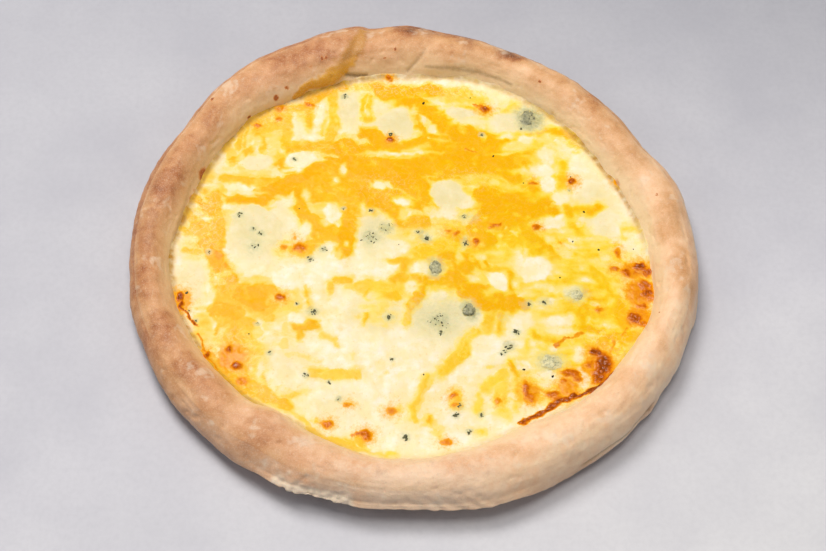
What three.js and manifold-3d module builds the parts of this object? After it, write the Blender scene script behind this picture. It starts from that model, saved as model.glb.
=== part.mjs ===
// A baked cheese pizza, about 300 mm across, lying flat on its base.
// Millimetres, +Z up. The origin is the middle of the box round it, on the surface it rests on,
// and the pizza's near side faces -Y. Three kinds of solid make it: the crust (base and raised rim
// in one), the melted cheese that fills it, and the lumps of blue cheese sunk into that cheese.

import * as THREE from 'three';
import { mergeVertices } from 'three/addons/utils/BufferGeometryUtils.js';
import Module from 'manifold-3d';

// ---- Driving dimensions -------------------------------------------------------------------

// Radii from the middle of the dough, one every 15 degrees, anticlockwise from +X.
// The outline is hand stretched: flat at 30 to 75 degrees, fullest at the overlap near 105.
const OUTER_RADIUS = [
  151, 150.5, 145.5, 147, 147.5, 149.5, 154.5, 158, 158, 156, 151.5, 152,
  149.5, 150, 149, 149, 149.5, 147.5, 146.5, 149.5, 149.5, 151, 150.5, 151.5,
];
const INNER_RADIUS = [
  125, 121.5, 119, 120, 122, 123, 121, 122, 123, 127, 125, 124.5,
  128, 126, 122, 119.5, 115.5, 119, 119.5, 117, 116, 121.5, 124.5, 129,
];
// Height of the rim's crest, one every 30 degrees.
const CREST_HEIGHT = [23.5, 22.5, 22.5, 23.5, 24.5, 23.5, 23, 24, 23.5, 24, 24, 23.5];

const BASE_THICKNESS = 5;
const CHEESE_LEVEL = 9;       // top of the melted cheese, above the resting surface
const GAP = 0.35;             // left between solids that touch

const RIM_SEGMENTS = 144;
const CHEESE_RINGS = 30;
const LUMP_DETAIL = 2;
const SEED = 7;

const DOUGH_SWELL = 0.9;      // uneven swelling of the rim's surface
const MELT_SWELL = 0.4;       // uneven level of the cheese

// The rim's overlap: a line across the rim where one end of the dough lies over the other.
const OVERLAP_FROM = new THREE.Vector2(-27, 152);
const OVERLAP_TO = new THREE.Vector2(-40, 119);
const OVERLAP_STEP = 1.6;     // how far the dough to its left stands proud
const OVERLAP_SLOPE = 4;      // half the width over which the dough steps down
const OVERLAP_REACH = 26;     // how far from the line the dough is level again

// Places on the rim, in degrees anticlockwise from +X. The first two are on its lower outer edge.
const LOWER_EDGE_HEIGHT = 9;
const TORN_EDGE = { from: 242, to: 258, depth: 1.6 };
const PINCHED_FOLD = { from: 300, to: 342, height: 4, depth: 1.4 };
const PINCHED_TIP = { angle: 323.5, width: 1.6, height: 2.2 };
const INNER_BUMP = { angle: 236, width: 6, height: 2.2 };

// Melted shreds of cheddar: from x, y to x, y, width.
const SHRED_HEIGHT = 0.9;
const SHREDS = [
  [-43, 110, -49, 76, 8],
  [-18, 113, 5, 108, 12],
  [5, 106, 25, 80, 12],
  [5, 110, 40, 105, 9],
  [-68, 72, -28, 71, 8],
  [-36, 80, -14, 72, 10],
  [22, 82, 50, 75, 13],
  [-103, 52, -70, 49, 8],
  [-99, 38, -50, 58, 8],
  [-38, 58, 5, 57, 13],
  [2, 62, 58, 60, 13],
  [52, 52, 76, 32, 10],
  [38, 32, 70, 28, 13],
  [-104, 36, -102, 8, 9],
  [-61, 42, -50, 12, 8],
  [-33, 36, -36, 2, 9],
  [-23, 42, -8, 26, 9],
  [62, 20, 70, 5, 7],
  [84, 28, 101, 31, 7],
  [-104, 3, -94, -11, 9],
  [-100, -15, -75, -18, 13],
  [-95, -40, -88, -60, 11],
  [-42, -13, 0, -19, 8],
  [28, -22, 55, -32, 13],
  [42, -35, 24, -60, 9],
  [24, -60, 2, -88, 9],
  [95, -38, 113, -46, 12],
  [-48, -70, -27, -70, 8],
  [-80, -78, -62, -90, 11],
  [45, -72, 42, -95, 11],
];

// Browned blisters: x, y, half width along x, half width along y.
const BLISTER_HEIGHT = 1.3;
const BLISTERS = [
  [96, -68, 7, 11],
  [117, -8, 9, 5],
  [121, -22, 5, 6],
  [114, -40, 5, 5],
  [73, -82, 7, 5],
  [57, -82, 5, 6],
  [-119, -28, 4, 6],
  [-91, -62, 6, 7],
  [-63, 5, 7, 4],
  [-24, -105, 5, 4],
  [22, 15, 7, 3],
  [34, 10, 3, 5],
];

// Lumps of blue cheese: x, y, size along x, size along y.
const LUMP_THICKNESS = 4.4;
const LUMP_SUNK = 0.8;        // how far its middle lies below the cheese's top
const BLUE_LUMPS = [
  [30, -34, 9.5, 10.5],
  [12.5, -8, 9, 11],
  [71, -65, 12.5, 10.5],
  [65, 92, 13, 13],
  [86, -25, 9, 9],
];

// ---- Small tools --------------------------------------------------------------------------

const { clamp, smoothstep, lerp, radToDeg, seededRandom, euclideanModulo } = THREE.MathUtils;

// A smooth closed run through equally spaced values, read at an angle in degrees.
function around(values, degrees) {
  const count = values.length;
  const place = euclideanModulo(degrees, 360) / 360 * count;
  const first = Math.floor(place);
  const t = place - first;
  const [a, b, c, d] = [-1, 0, 1, 2].map((step) => values[(first + step + count) % count]);
  const bend = (2 * a - 5 * b + 4 * c - d) * t * t + (3 * b - a - 3 * c + d) * t * t * t;
  return b + 0.5 * ((c - a) * t + bend);
}

// Seeded waves in many directions, adding up to an uneven, doughy surface between -1 and 1.
function makeWaves(count, shortest, longest) {
  const waves = [];
  for (let i = 0; i < count; i += 1) {
    const direction = new THREE.Vector3(
      seededRandom() - 0.5,
      seededRandom() - 0.5,
      seededRandom() - 0.5,
    ).normalize();
    const length = lerp(shortest, longest, seededRandom());
    waves.push({ direction, turns: 2 * Math.PI / length, start: 2 * Math.PI * seededRandom() });
  }
  return (point) => {
    let sum = 0;
    for (const wave of waves) {
      sum += Math.sin(wave.direction.dot(point) * wave.turns + wave.start);
    }
    return sum / Math.sqrt(count) / 1.4;
  };
}

function angleOf(x, y) {
  return euclideanModulo(radToDeg(Math.atan2(y, x)), 360);
}

// 1 within a range of angles, fading to 0 over a few degrees at either end.
function withinAngles(degrees, range) {
  const fade = 4;
  return smoothstep(degrees, range.from - fade, range.from)
    * (1 - smoothstep(degrees, range.to, range.to + fade));
}

// The height of a rounded bump at an angle, on a bump centred elsewhere.
function bumpAt(degrees, bump) {
  return bump.height * Math.exp(-(((degrees - bump.angle) / bump.width) ** 2));
}

// ---- Crust: base and raised rim -----------------------------------------------------------

const NOMINAL_INNER = 120;
const NOMINAL_OUTER = 150;
const NOMINAL_CREST = 23;

// Half the crust's section, from the axis under the base, round the rim and back to the axis.
// Each pair is a radius and a height.
const SECTION = [
  [0, 0],
  [135.5, 0],
  [141.5, 0.8],
  [146, 2.8],
  [149, 6.2],
  [150, 10.2],
  [149, 14],
  [146.3, 17.8],
  [142.6, 20.9],
  [138.2, 22.6],
  [133.8, 23],
  [129.5, 21.8],
  [125.6, 18.6],
  [122.2, 13.8],
  [120, 9.4],
  [118.8, 6.8],
  [116.5, BASE_THICKNESS],
  [0, BASE_THICKNESS],
];

// How freely the dough swells at a height: not where it rests, and not where it meets the cheese.
function freedom(height, isOutside) {
  if (isOutside) return smoothstep(height, 0.2, BASE_THICKNESS);
  return smoothstep(height, CHEESE_LEVEL + 0.6, CHEESE_LEVEL + 6);
}

function makeCrust() {
  const profile = SECTION.map(([radius, height]) => new THREE.Vector2(radius, height));
  const geometry = new THREE.LatheGeometry(profile, RIM_SEGMENTS);
  geometry.rotateX(Math.PI / 2);

  const doughWaves = makeWaves(9, 24, 60);
  const tearWaves = makeWaves(6, 9, 14);
  const overlapWay = OVERLAP_TO.clone().sub(OVERLAP_FROM).normalize();
  const positions = geometry.getAttribute('position');
  const point = new THREE.Vector3();

  for (let i = 0; i < positions.count; i += 1) {
    point.fromBufferAttribute(positions, i);
    const nominal = Math.hypot(point.x, point.y);
    if (nominal < 1) continue;
    const wayX = point.x / nominal;
    const wayY = point.y / nominal;
    const degrees = angleOf(wayX, wayY);

    // The turned ring is stretched to the hand-made outline.
    const inner = around(INNER_RADIUS, degrees);
    const outer = around(OUTER_RADIUS, degrees);
    const across = (nominal - NOMINAL_INNER) / (NOMINAL_OUTER - NOMINAL_INNER);
    const radius = across > 0 ? lerp(inner, outer, across) : nominal + inner - NOMINAL_INNER;
    const taller = around(CREST_HEIGHT, degrees) / NOMINAL_CREST;
    const height = point.z * lerp(1, taller, smoothstep(point.z, CHEESE_LEVEL, CHEESE_LEVEL + 6));
    point.set(wayX * radius, wayY * radius, height);

    // The overlap: dough to its left stands proud and dough to its right dips.
    const side = (point.x - OVERLAP_FROM.x) * overlapWay.y - (point.y - OVERLAP_FROM.y) * overlapWay.x;
    const nearOverlap = point.y > 0 ? clamp(1 - Math.abs(side) / OVERLAP_REACH, 0, 1) : 0;
    let swell = DOUGH_SWELL * doughWaves(point);
    swell += OVERLAP_STEP * nearOverlap * clamp(side / OVERLAP_SLOPE, -1, 1);

    const isOutside = across > 0.45;
    if (isOutside && height < LOWER_EDGE_HEIGHT) {
      const folded = height > PINCHED_FOLD.height ? PINCHED_FOLD.depth : 0;
      swell += TORN_EDGE.depth * withinAngles(degrees, TORN_EDGE) * tearWaves(point);
      swell += bumpAt(degrees, PINCHED_TIP) - folded * withinAngles(degrees, PINCHED_FOLD);
    }
    if (!isOutside) swell += bumpAt(degrees, INNER_BUMP);

    // The rim swells away from the middle of its own section.
    const middleRadius = lerp(inner, outer, 0.5);
    const outward = new THREE.Vector2(radius - middleRadius, height - NOMINAL_CREST / 2).normalize();
    outward.multiplyScalar(swell * freedom(height, isOutside));
    const swollen = radius + outward.x;
    positions.setXYZ(i, wayX * swollen, wayY * swollen, height + outward.y);
  }
  return geometry;
}

// ---- Cheese: a melted disc with shreds and blisters in its surface ------------------------

function distanceToShred(x, y, [x0, y0, x1, y1]) {
  const lengthSquared = (x1 - x0) ** 2 + (y1 - y0) ** 2;
  const along = clamp(((x - x0) * (x1 - x0) + (y - y0) * (y1 - y0)) / lengthSquared, 0, 1);
  return Math.hypot(x - lerp(x0, x1, along), y - lerp(y0, y1, along));
}

function shredRelief(x, y) {
  let relief = 0;
  for (const shred of SHREDS) {
    const halfWidth = shred[4] / 2 + 1;
    const fade = 1 - smoothstep(distanceToShred(x, y, shred), halfWidth * 0.4, halfWidth * 1.3);
    relief = Math.max(relief, SHRED_HEIGHT * fade);
  }
  return relief;
}

function blisterRelief(x, y) {
  let relief = 0;
  for (const [centreX, centreY, halfX, halfY] of BLISTERS) {
    const away = Math.hypot((x - centreX) / halfX, (y - centreY) / halfY);
    relief = Math.max(relief, BLISTER_HEIGHT * (1 - smoothstep(away, 0.4, 1.3)));
  }
  return relief;
}

// The disc's top is rings of evenly spaced points: ring k has 6k of them.
function makeCheese() {
  const EDGE_INSIDE_WALL = 0.2 + GAP;
  const CALM_EDGE = 9;          // width of the edge where the shreds have melted flatter
  const FOOT_DRAWN_IN = 3.4;    // how far the foot clears the curve where the rim rises
  const meltWaves = makeWaves(8, 26, 70);
  const points = [];
  const triangles = [];
  const firstOfRing = (ring) => (ring === 0 ? 0 : 1 + 3 * ring * (ring - 1));

  function addTopPoint(ring, step) {
    const turn = ring === 0 ? 0 : step / (6 * ring) * 2 * Math.PI;
    const edge = around(INNER_RADIUS, radToDeg(turn)) - EDGE_INSIDE_WALL;
    const radius = edge * ring / CHEESE_RINGS;
    const x = radius * Math.cos(turn);
    const y = radius * Math.sin(turn);
    const melt = MELT_SWELL * meltWaves(new THREE.Vector3(x, y, 0));
    const relief = shredRelief(x, y) + blisterRelief(x, y);
    const flatter = lerp(1, 0.5, smoothstep(radius, edge - CALM_EDGE, edge));
    points.push([x, y, CHEESE_LEVEL + melt + relief * flatter]);
  }

  addTopPoint(0, 0);
  for (let ring = 1; ring <= CHEESE_RINGS; ring += 1) {
    for (let step = 0; step < 6 * ring; step += 1) addTopPoint(ring, step);
  }
  for (let ring = 1; ring <= CHEESE_RINGS; ring += 1) {
    const outerPoint = (step) => firstOfRing(ring) + step % (6 * ring);
    const innerPoint = (step) => firstOfRing(ring - 1) + (ring === 1 ? 0 : step % (6 * ring - 6));
    for (let sector = 0; sector < 6; sector += 1) {
      for (let i = 0; i < ring; i += 1) {
        const outerStep = sector * ring + i;
        const innerStep = sector * (ring - 1) + i;
        triangles.push([innerPoint(innerStep), outerPoint(outerStep), outerPoint(outerStep + 1)]);
        if (i === ring - 1) continue;
        triangles.push([innerPoint(innerStep), outerPoint(outerStep + 1), innerPoint(innerStep + 1)]);
      }
    }
  }

  // Side and underside.
  const footHeight = BASE_THICKNESS + GAP;
  const edgeCount = 6 * CHEESE_RINGS;
  const edgeStart = firstOfRing(CHEESE_RINGS);
  const footStart = points.length;
  for (let step = 0; step < edgeCount; step += 1) {
    const [x, y] = points[edgeStart + step];
    const shrink = 1 - FOOT_DRAWN_IN / Math.hypot(x, y);
    points.push([x * shrink, y * shrink, footHeight]);
  }
  const footMiddle = points.length;
  points.push([0, 0, footHeight]);
  for (let step = 0; step < edgeCount; step += 1) {
    const next = (step + 1) % edgeCount;
    triangles.push([edgeStart + step, footStart + step, footStart + next]);
    triangles.push([edgeStart + step, footStart + next, edgeStart + next]);
    triangles.push([footMiddle, footStart + next, footStart + step]);
  }

  const geometry = new THREE.BufferGeometry();
  geometry.setAttribute('position', new THREE.Float32BufferAttribute(points.flat(), 3));
  geometry.setIndex(triangles.flat());
  return geometry;
}

// ---- Blue cheese --------------------------------------------------------------------------

// A flattened, crumbly lump. A pocket for it is the same shape, larger by the gap all round.
function makeLump([x, y, sizeX, sizeY], grown) {
  const geometry = new THREE.IcosahedronGeometry(1, LUMP_DETAIL);
  const positions = geometry.getAttribute('position');
  const point = new THREE.Vector3();
  for (let i = 0; i < positions.count; i += 1) {
    point.fromBufferAttribute(positions, i);
    const broad = 0.1 * Math.sin(3 * point.x + x) * Math.cos(4 * point.y + y);
    const crumbly = 0.06 * Math.sin(7 * point.x - 5 * point.y);
    point.multiplyScalar(1 + broad + crumbly);
    positions.setXYZ(i, point.x, point.y, point.z);
  }
  geometry.scale(sizeX / 2 + grown, sizeY / 2 + grown, LUMP_THICKNESS / 2 + grown);
  geometry.translate(x, y, CHEESE_LEVEL - LUMP_SUNK);
  return geometry;
}

// ---- Cutting the pockets ------------------------------------------------------------------

const wasm = await Module();
wasm.setup();

function toSolid(geometry) {
  const bare = geometry.clone();
  bare.deleteAttribute('uv');
  bare.deleteAttribute('normal');
  const merged = mergeVertices(bare, 1e-3);
  const vertProperties = new Float32Array(merged.getAttribute('position').array);
  const triVerts = new Uint32Array(merged.getIndex().array);
  return new wasm.Manifold(new wasm.Mesh({ numProp: 3, vertProperties, triVerts }));
}

function toGeometry(solid) {
  const mesh = solid.getMesh();
  const geometry = new THREE.BufferGeometry();
  geometry.setAttribute('position', new THREE.BufferAttribute(mesh.vertProperties, 3));
  geometry.setIndex(new THREE.BufferAttribute(mesh.triVerts, 1));
  return geometry;
}

// ---- The pizza ----------------------------------------------------------------------------

function makePiece(name, geometry, material) {
  geometry.computeVertexNormals();
  const piece = new THREE.Mesh(geometry, material);
  piece.name = name;
  return piece;
}

const crustMaterial = new THREE.MeshStandardMaterial({ color: 0xdcb491, roughness: 0.62, metalness: 0 });
const cheeseMaterial = new THREE.MeshStandardMaterial({ color: 0xf8dc7c, roughness: 0.38, metalness: 0 });
const blueMaterial = new THREE.MeshStandardMaterial({ color: 0xa3ae98, roughness: 0.5, metalness: 0 });

seededRandom(SEED);
const pizza = new THREE.Group();
pizza.add(makePiece('crust', makeCrust(), crustMaterial));

let cheese = toSolid(makeCheese());
for (const lump of BLUE_LUMPS) cheese = cheese.subtract(toSolid(makeLump(lump, GAP)));
pizza.add(makePiece('cheese', toGeometry(cheese), cheeseMaterial));

BLUE_LUMPS.forEach((lump, index) => {
  pizza.add(makePiece(`blue_cheese_${index + 1}`, makeLump(lump, 0), blueMaterial.clone()));
});

// The origin is the middle of the pizza's box, at the surface it rests on.
const box = new THREE.Box3().setFromObject(pizza);
const middle = box.getCenter(new THREE.Vector3());
pizza.position.set(-middle.x, -middle.y, -box.min.z);

export default pizza;
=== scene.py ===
"""The looks of a baked cheese pizza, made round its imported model.

Shapes are worked out in millimetres about the middle of the dough: x to the right, y away from
the near side, z up from the surface it rests on. They become metres when a mesh is made. Angles
round the pizza are anticlockwise from +X. In a sum of noises, each has its height or strength,
and then its size in millimetres.
"""

import math
from itertools import product
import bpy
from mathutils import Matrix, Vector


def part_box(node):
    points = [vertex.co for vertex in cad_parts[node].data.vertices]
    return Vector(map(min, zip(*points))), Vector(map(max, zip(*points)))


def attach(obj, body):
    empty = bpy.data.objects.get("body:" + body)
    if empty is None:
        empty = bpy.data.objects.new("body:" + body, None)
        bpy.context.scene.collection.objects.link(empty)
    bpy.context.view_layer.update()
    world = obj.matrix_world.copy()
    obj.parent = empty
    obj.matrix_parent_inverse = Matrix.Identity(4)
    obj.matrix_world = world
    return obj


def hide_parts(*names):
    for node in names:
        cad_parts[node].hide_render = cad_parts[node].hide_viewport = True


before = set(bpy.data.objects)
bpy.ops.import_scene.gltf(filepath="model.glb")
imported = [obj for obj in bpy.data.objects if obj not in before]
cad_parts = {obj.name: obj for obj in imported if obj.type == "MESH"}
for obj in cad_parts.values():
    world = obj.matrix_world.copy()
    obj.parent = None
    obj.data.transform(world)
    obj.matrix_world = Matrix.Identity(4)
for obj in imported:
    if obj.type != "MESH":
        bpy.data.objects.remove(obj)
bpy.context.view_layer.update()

from types import SimpleNamespace

import bmesh
import bpy
import numpy as np
from mathutils import Vector
from mathutils.bvhtree import BVHTree

MM = 0.001
DOUGH_MIDDLE = np.array([-0.57, -4.25, 0.0])   # in the frame
CHEESE_LEVEL = 9.0
BASE_THICKNESS = 5.0
SEED = 11
ABOVE_ALL = 60             # a height from which to look down on the pizza
DOWN = Vector((0, 0, -1))


# ---- Small tools ------------------------------------------------------------------------------

def smooth(value, low, high):
    """0 below low, 1 above high, with a soft step between."""
    part = np.clip((value - low) / (high - low), 0, 1)
    return part * part * (3 - 2 * part)


def blend(a, b, share):
    return a + (b - a) * share


def bell(value, width):
    return np.exp(-(value / width) ** 2)


class Noise:
    """Seeded gradient noise in three dimensions, between about -1 and 1."""

    GAIN = 1.7

    def __init__(self, seed):
        draw = np.random.default_rng(seed)
        self.order = draw.permutation(256)
        ways = draw.normal(size=(256, 3))
        self.ways = ways / np.linalg.norm(ways, axis=1, keepdims=True)

    def __call__(self, points, size):
        place = np.asarray(points, float) / size
        cell = np.floor(place).astype(int)
        part = place - cell
        fade = part ** 3 * (part * (part * 6 - 15) + 10)
        total = np.zeros(place.shape[:-1])
        for corner in product((0, 1), repeat=3):
            index = (cell + np.array(corner)) & 255
            pick = self.order[index[..., 0]]
            pick = self.order[(pick + index[..., 1]) & 255]
            pick = self.order[(pick + index[..., 2]) & 255]
            slope = ((part - np.array(corner)) * self.ways[pick]).sum(-1)
            weight = np.prod(np.where(np.array(corner) == 1, fade, 1 - fade), axis=-1)
            total += slope * weight
        return total * self.GAIN


broad, middling, fine = Noise(SEED), Noise(SEED + 1), Noise(SEED + 2)


def at_level(x, y):
    """Points for noise that doesn't change with height."""
    return np.stack([x, y, np.zeros_like(x)], -1)


def distance_to_line(x, y, line):
    """Distance in plan to the nearest of a line's pieces. The line is a list of (x, y)."""
    nearest = np.full(np.shape(x), np.inf)
    for (x0, y0), (x1, y1) in zip(line[:-1], line[1:]):
        length_squared = (x1 - x0) ** 2 + (y1 - y0) ** 2
        along = np.clip(((x - x0) * (x1 - x0) + (y - y0) * (y1 - y0)) / length_squared, 0, 1)
        away = np.hypot(x - x0 - along * (x1 - x0), y - y0 - along * (y1 - y0))
        nearest = np.minimum(nearest, away)
    return nearest


def mottle(x, y, patches, soft=0.35):
    """The strongest of several soft ovals at each point: (x, y, half width, half depth, strength)."""
    most = np.zeros_like(x)
    for centre_x, centre_y, half_x, half_y, strength in patches:
        away = np.hypot((x - centre_x) / half_x, (y - centre_y) / half_y)
        most = np.maximum(most, strength * (1 - smooth(away, 1 - soft, 1 + soft)))
    return most


def make_mesh(name, points, faces):
    """A smooth mesh object from points in millimetres about the dough's middle."""
    mesh = bpy.data.meshes.new(name)
    placed = (np.asarray(points, float) + DOUGH_MIDDLE) * MM
    mesh.from_pydata(placed.tolist(), [], [tuple(face) for face in faces])
    mesh.validate()
    mesh.polygons.foreach_set("use_smooth", [True] * len(mesh.polygons))
    piece = bpy.data.objects.new(name, mesh)
    bpy.context.scene.collection.objects.link(piece)
    return piece


def paint(piece, fields):
    """Stores each field, one value a point, for the material to read."""
    for name, values in fields.items():
        attribute = piece.data.attributes.new(name, "FLOAT", "POINT")
        attribute.data.foreach_set("value", np.ravel(values).astype(np.float32))


def plan_tree(piece):
    """A search tree of a piece's faces, in millimetres about the dough's middle."""
    points = np.array([vertex.co for vertex in piece.data.vertices]) / MM - DOUGH_MIDDLE
    faces = [tuple(face.vertices) for face in piece.data.polygons]
    return BVHTree.FromPolygons(points.tolist(), faces)


def height_at(tree, x, y):
    """The surface's height under each point, found from above."""
    heights = [tree.ray_cast(Vector((px, py, ABOVE_ALL)), DOWN)[0].z for px, py in zip(x, y)]
    return np.array(heights)


# ---- Crust: read from the solid, made fine and given its baked surface ------------------------

COLUMNS = 144              # sections of the solid's rim that are read, evenly round
SECTION_TURNS = np.radians(np.linspace(-90, 192, 120))    # directions in which a section is read
SECTION_HEIGHT = 11.5      # height of the middle of the rim's section
WALL_HEIGHT = 12           # height at which the rim's outer and inner wall are looked for
SOFTENING = 8              # how many times a section's corners are rounded
AROUND = 960               # points round the fine rim
ALONG = 86                 # steps over the rim, from its base to the foot of its inner wall
OUTER_STEPS = 0.5 * ALONG  # how many of them lie on its outside
BASE_RINGS = 12
BASE_MIDDLE_HEIGHT = 0.2   # the base is hollowed by this much in its middle
HOLLOWS = 0.35             # depth of the other hollows between the spots where the base rests
FLOOR_SHARES = (0.97, 0.5)   # rings of the dough's floor under the cheese, as shares of its edge
WRINKLES_FROM = 75         # length over the rim in the noise for wrinkles
WRINKLES_ROUND = 14        # and its radius there, which is small, so that they run along the rim

# How the low side differs from the solid's: drawn up and leaning out, and fuller elsewhere.
LOW_SIDE = (120, 134)      # it begins between these radii
LIFTED, LIFTED_FADE = (243, 288), 12           # in degrees
LIFT, LIFTED_BELOW = 8.5, 16
LEANING_OUT, LEANING_HEIGHT = 1.2, 9
FULLER_AT, FULLER_FADE = 335, (30, 65)         # in degrees
FULLER, FULLER_HEIGHT = 2.4, 4

# Dough laid over dough at the back, with a step up and a step down, and the crease to its right.
OVERLAP = [(-27, 152), (-38, 121)]
STEP_UP, STEP_DOWN = 0.5, 0.25
CREASE = [(7.4, 130.5, 1.2), (4, 127, 1.2), (-2.3, 123, 1.2)]
CREASE_DEPTH = 0.5
# Where cheddar has run over the rim and along the foot of its wall: x, y, half width.
RUN = [
    (-28, 145, 2.4), (-30, 137, 3.6), (-32.4, 129.8, 5.4), (-39, 121.5, 6.0), (-46, 115.5, 5.2),
    (-53, 112, 4.2), (-60, 109, 3.0), (-66, 105, 2.2),
]
RUN_HEIGHT = 0.45
# The gap under the end of the overlap, dented and darkened with painted shade, and lines of painted shade
# along the foot of the far and left wall.
GAP = [(-37, 119.2, 1.2), (-32, 119.6, 1.9), (-26, 120.4, 1.2)]
GAP_DEPTH = 0.9
FAR_FOOT = [(8, 124, 1.0), (24, 122.4, 1.9), (36, 120.6, 1.9), (46, 117, 1.5), (56, 111.5, 1.0)]
LEFT_FOOT = [
    (-94.6, 85.6, 0.7), (-110, 64.5, 1.3), (-120, 41, 1.5), (-126.3, 15.5, 1.5), (-127.5, -6, 1.3),
    (-124.5, -29, 0.9),
]
# Marks on the outer side: their places in degrees, their heights and how high or deep they are.
TORN, TORN_HEIGHT = (243.5, 258), 13
TORN_CRUMBS, TORN_RIDGES = 0.8, 0.7
SCORCHED_AT = 244.8
PINCHED, PINCHED_TIP, FOLD_HEIGHT = (306, 322), 322, 11.2
FOLD_RISE, FOLD_DEPTH = 0.5, 0.75
MARK_HEIGHT = 10.5         # of the scorched place and the tip
LAYERED, LAYERED_HEIGHT, LAYER_DEPTH = (270, 285), 12, 0.22
LAYERS_FALL = 1.44         # how fast the layers run down to the right, in mm for each degree


def read_sections(tree):
    """The rim's section at each column, as evenly spaced (radius, height) pairs."""
    sections = np.zeros((COLUMNS, ALONG + 1, 2))
    for column in range(COLUMNS):
        angle = 2 * math.pi * column / COLUMNS
        way = Vector((math.cos(angle), math.sin(angle), 0))
        outer = tree.ray_cast(way * 200 + Vector((0, 0, WALL_HEIGHT)), -way)[0]
        inner = tree.ray_cast(way * 60 + Vector((0, 0, WALL_HEIGHT)), way)[0]
        centre = way * (outer.dot(way) + inner.dot(way)) / 2 + Vector((0, 0, SECTION_HEIGHT))
        outline = []
        for turn in SECTION_TURNS:
            hit = tree.ray_cast(centre, way * math.cos(turn) + Vector((0, 0, math.sin(turn))))[0]
            outline.append((hit.dot(way), hit.z))
        outline = np.array(outline)
        for _ in range(SOFTENING):
            outline[1:-1] = (outline[:-2] + 2 * outline[1:-1] + outline[2:]) / 4
        run = np.concatenate([[0], np.cumsum(np.hypot(*np.diff(outline, axis=0).T))])
        places = np.linspace(0, run[-1], ALONG + 1)
        for axis in range(2):
            sections[column, :, axis] = np.interp(places, run, outline[:, axis])
    return sections


def round_the_rim(sections, count):
    """A smooth closed run through the columns, read at count even angles."""
    place = np.arange(count) / count * len(sections)
    first = np.floor(place).astype(int)
    t = (place - first)[:, None, None]
    a, b, c, d = (sections[(first + step) % len(sections)] for step in (-1, 0, 1, 2))
    bend = (2 * a - 5 * b + 4 * c - d) * t * t + (3 * b - a - 3 * c + d) * t ** 3
    return b + 0.5 * ((c - a) * t + bend)


def within(degrees, span, fade):
    """1 inside a span of degrees, fading to 0 outside it."""
    return smooth(degrees, span[0] - fade, span[0]) * (1 - smooth(degrees, span[1], span[1] + fade))


def near_path(points, path, tree):
    """Distance in space to a path laid on the rim, as a share of its half width there."""
    path = np.array(path, float)
    heights = height_at(tree, path[:, 0], path[:, 1])
    places = np.column_stack([path[:, :2], heights])
    nearest = np.full(points.shape[:-1], np.inf)
    for start, end, half_start, half_end in zip(places[:-1], places[1:], path[:-1, 2], path[1:, 2]):
        way = end - start
        along = np.clip(((points - start) @ way) / (way @ way), 0, 1)
        away = np.linalg.norm(points - start - along[..., None] * way, axis=-1)
        nearest = np.minimum(nearest, away / blend(half_start, half_end, along))
    return nearest


def crust_profile(tree):
    """(radius, height) at each angle: out along the base, over the rim and in under the cheese."""
    section = round_the_rim(read_sections(tree), AROUND)
    edge, foot = section[:, :1], section[:, -1:]
    rings = np.arange(1, BASE_RINGS)[None, :, None] / BASE_RINGS
    base = np.concatenate([edge[..., :1] * rings, edge[..., 1:] + 0 * rings], -1)
    shares = np.array(FLOOR_SHARES)[None, :, None]
    floor_radii = foot[..., :1] * shares
    floor = np.concatenate([floor_radii, np.full_like(floor_radii, BASE_THICKNESS)], -1)
    return np.concatenate([base, section, floor], 1)


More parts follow.
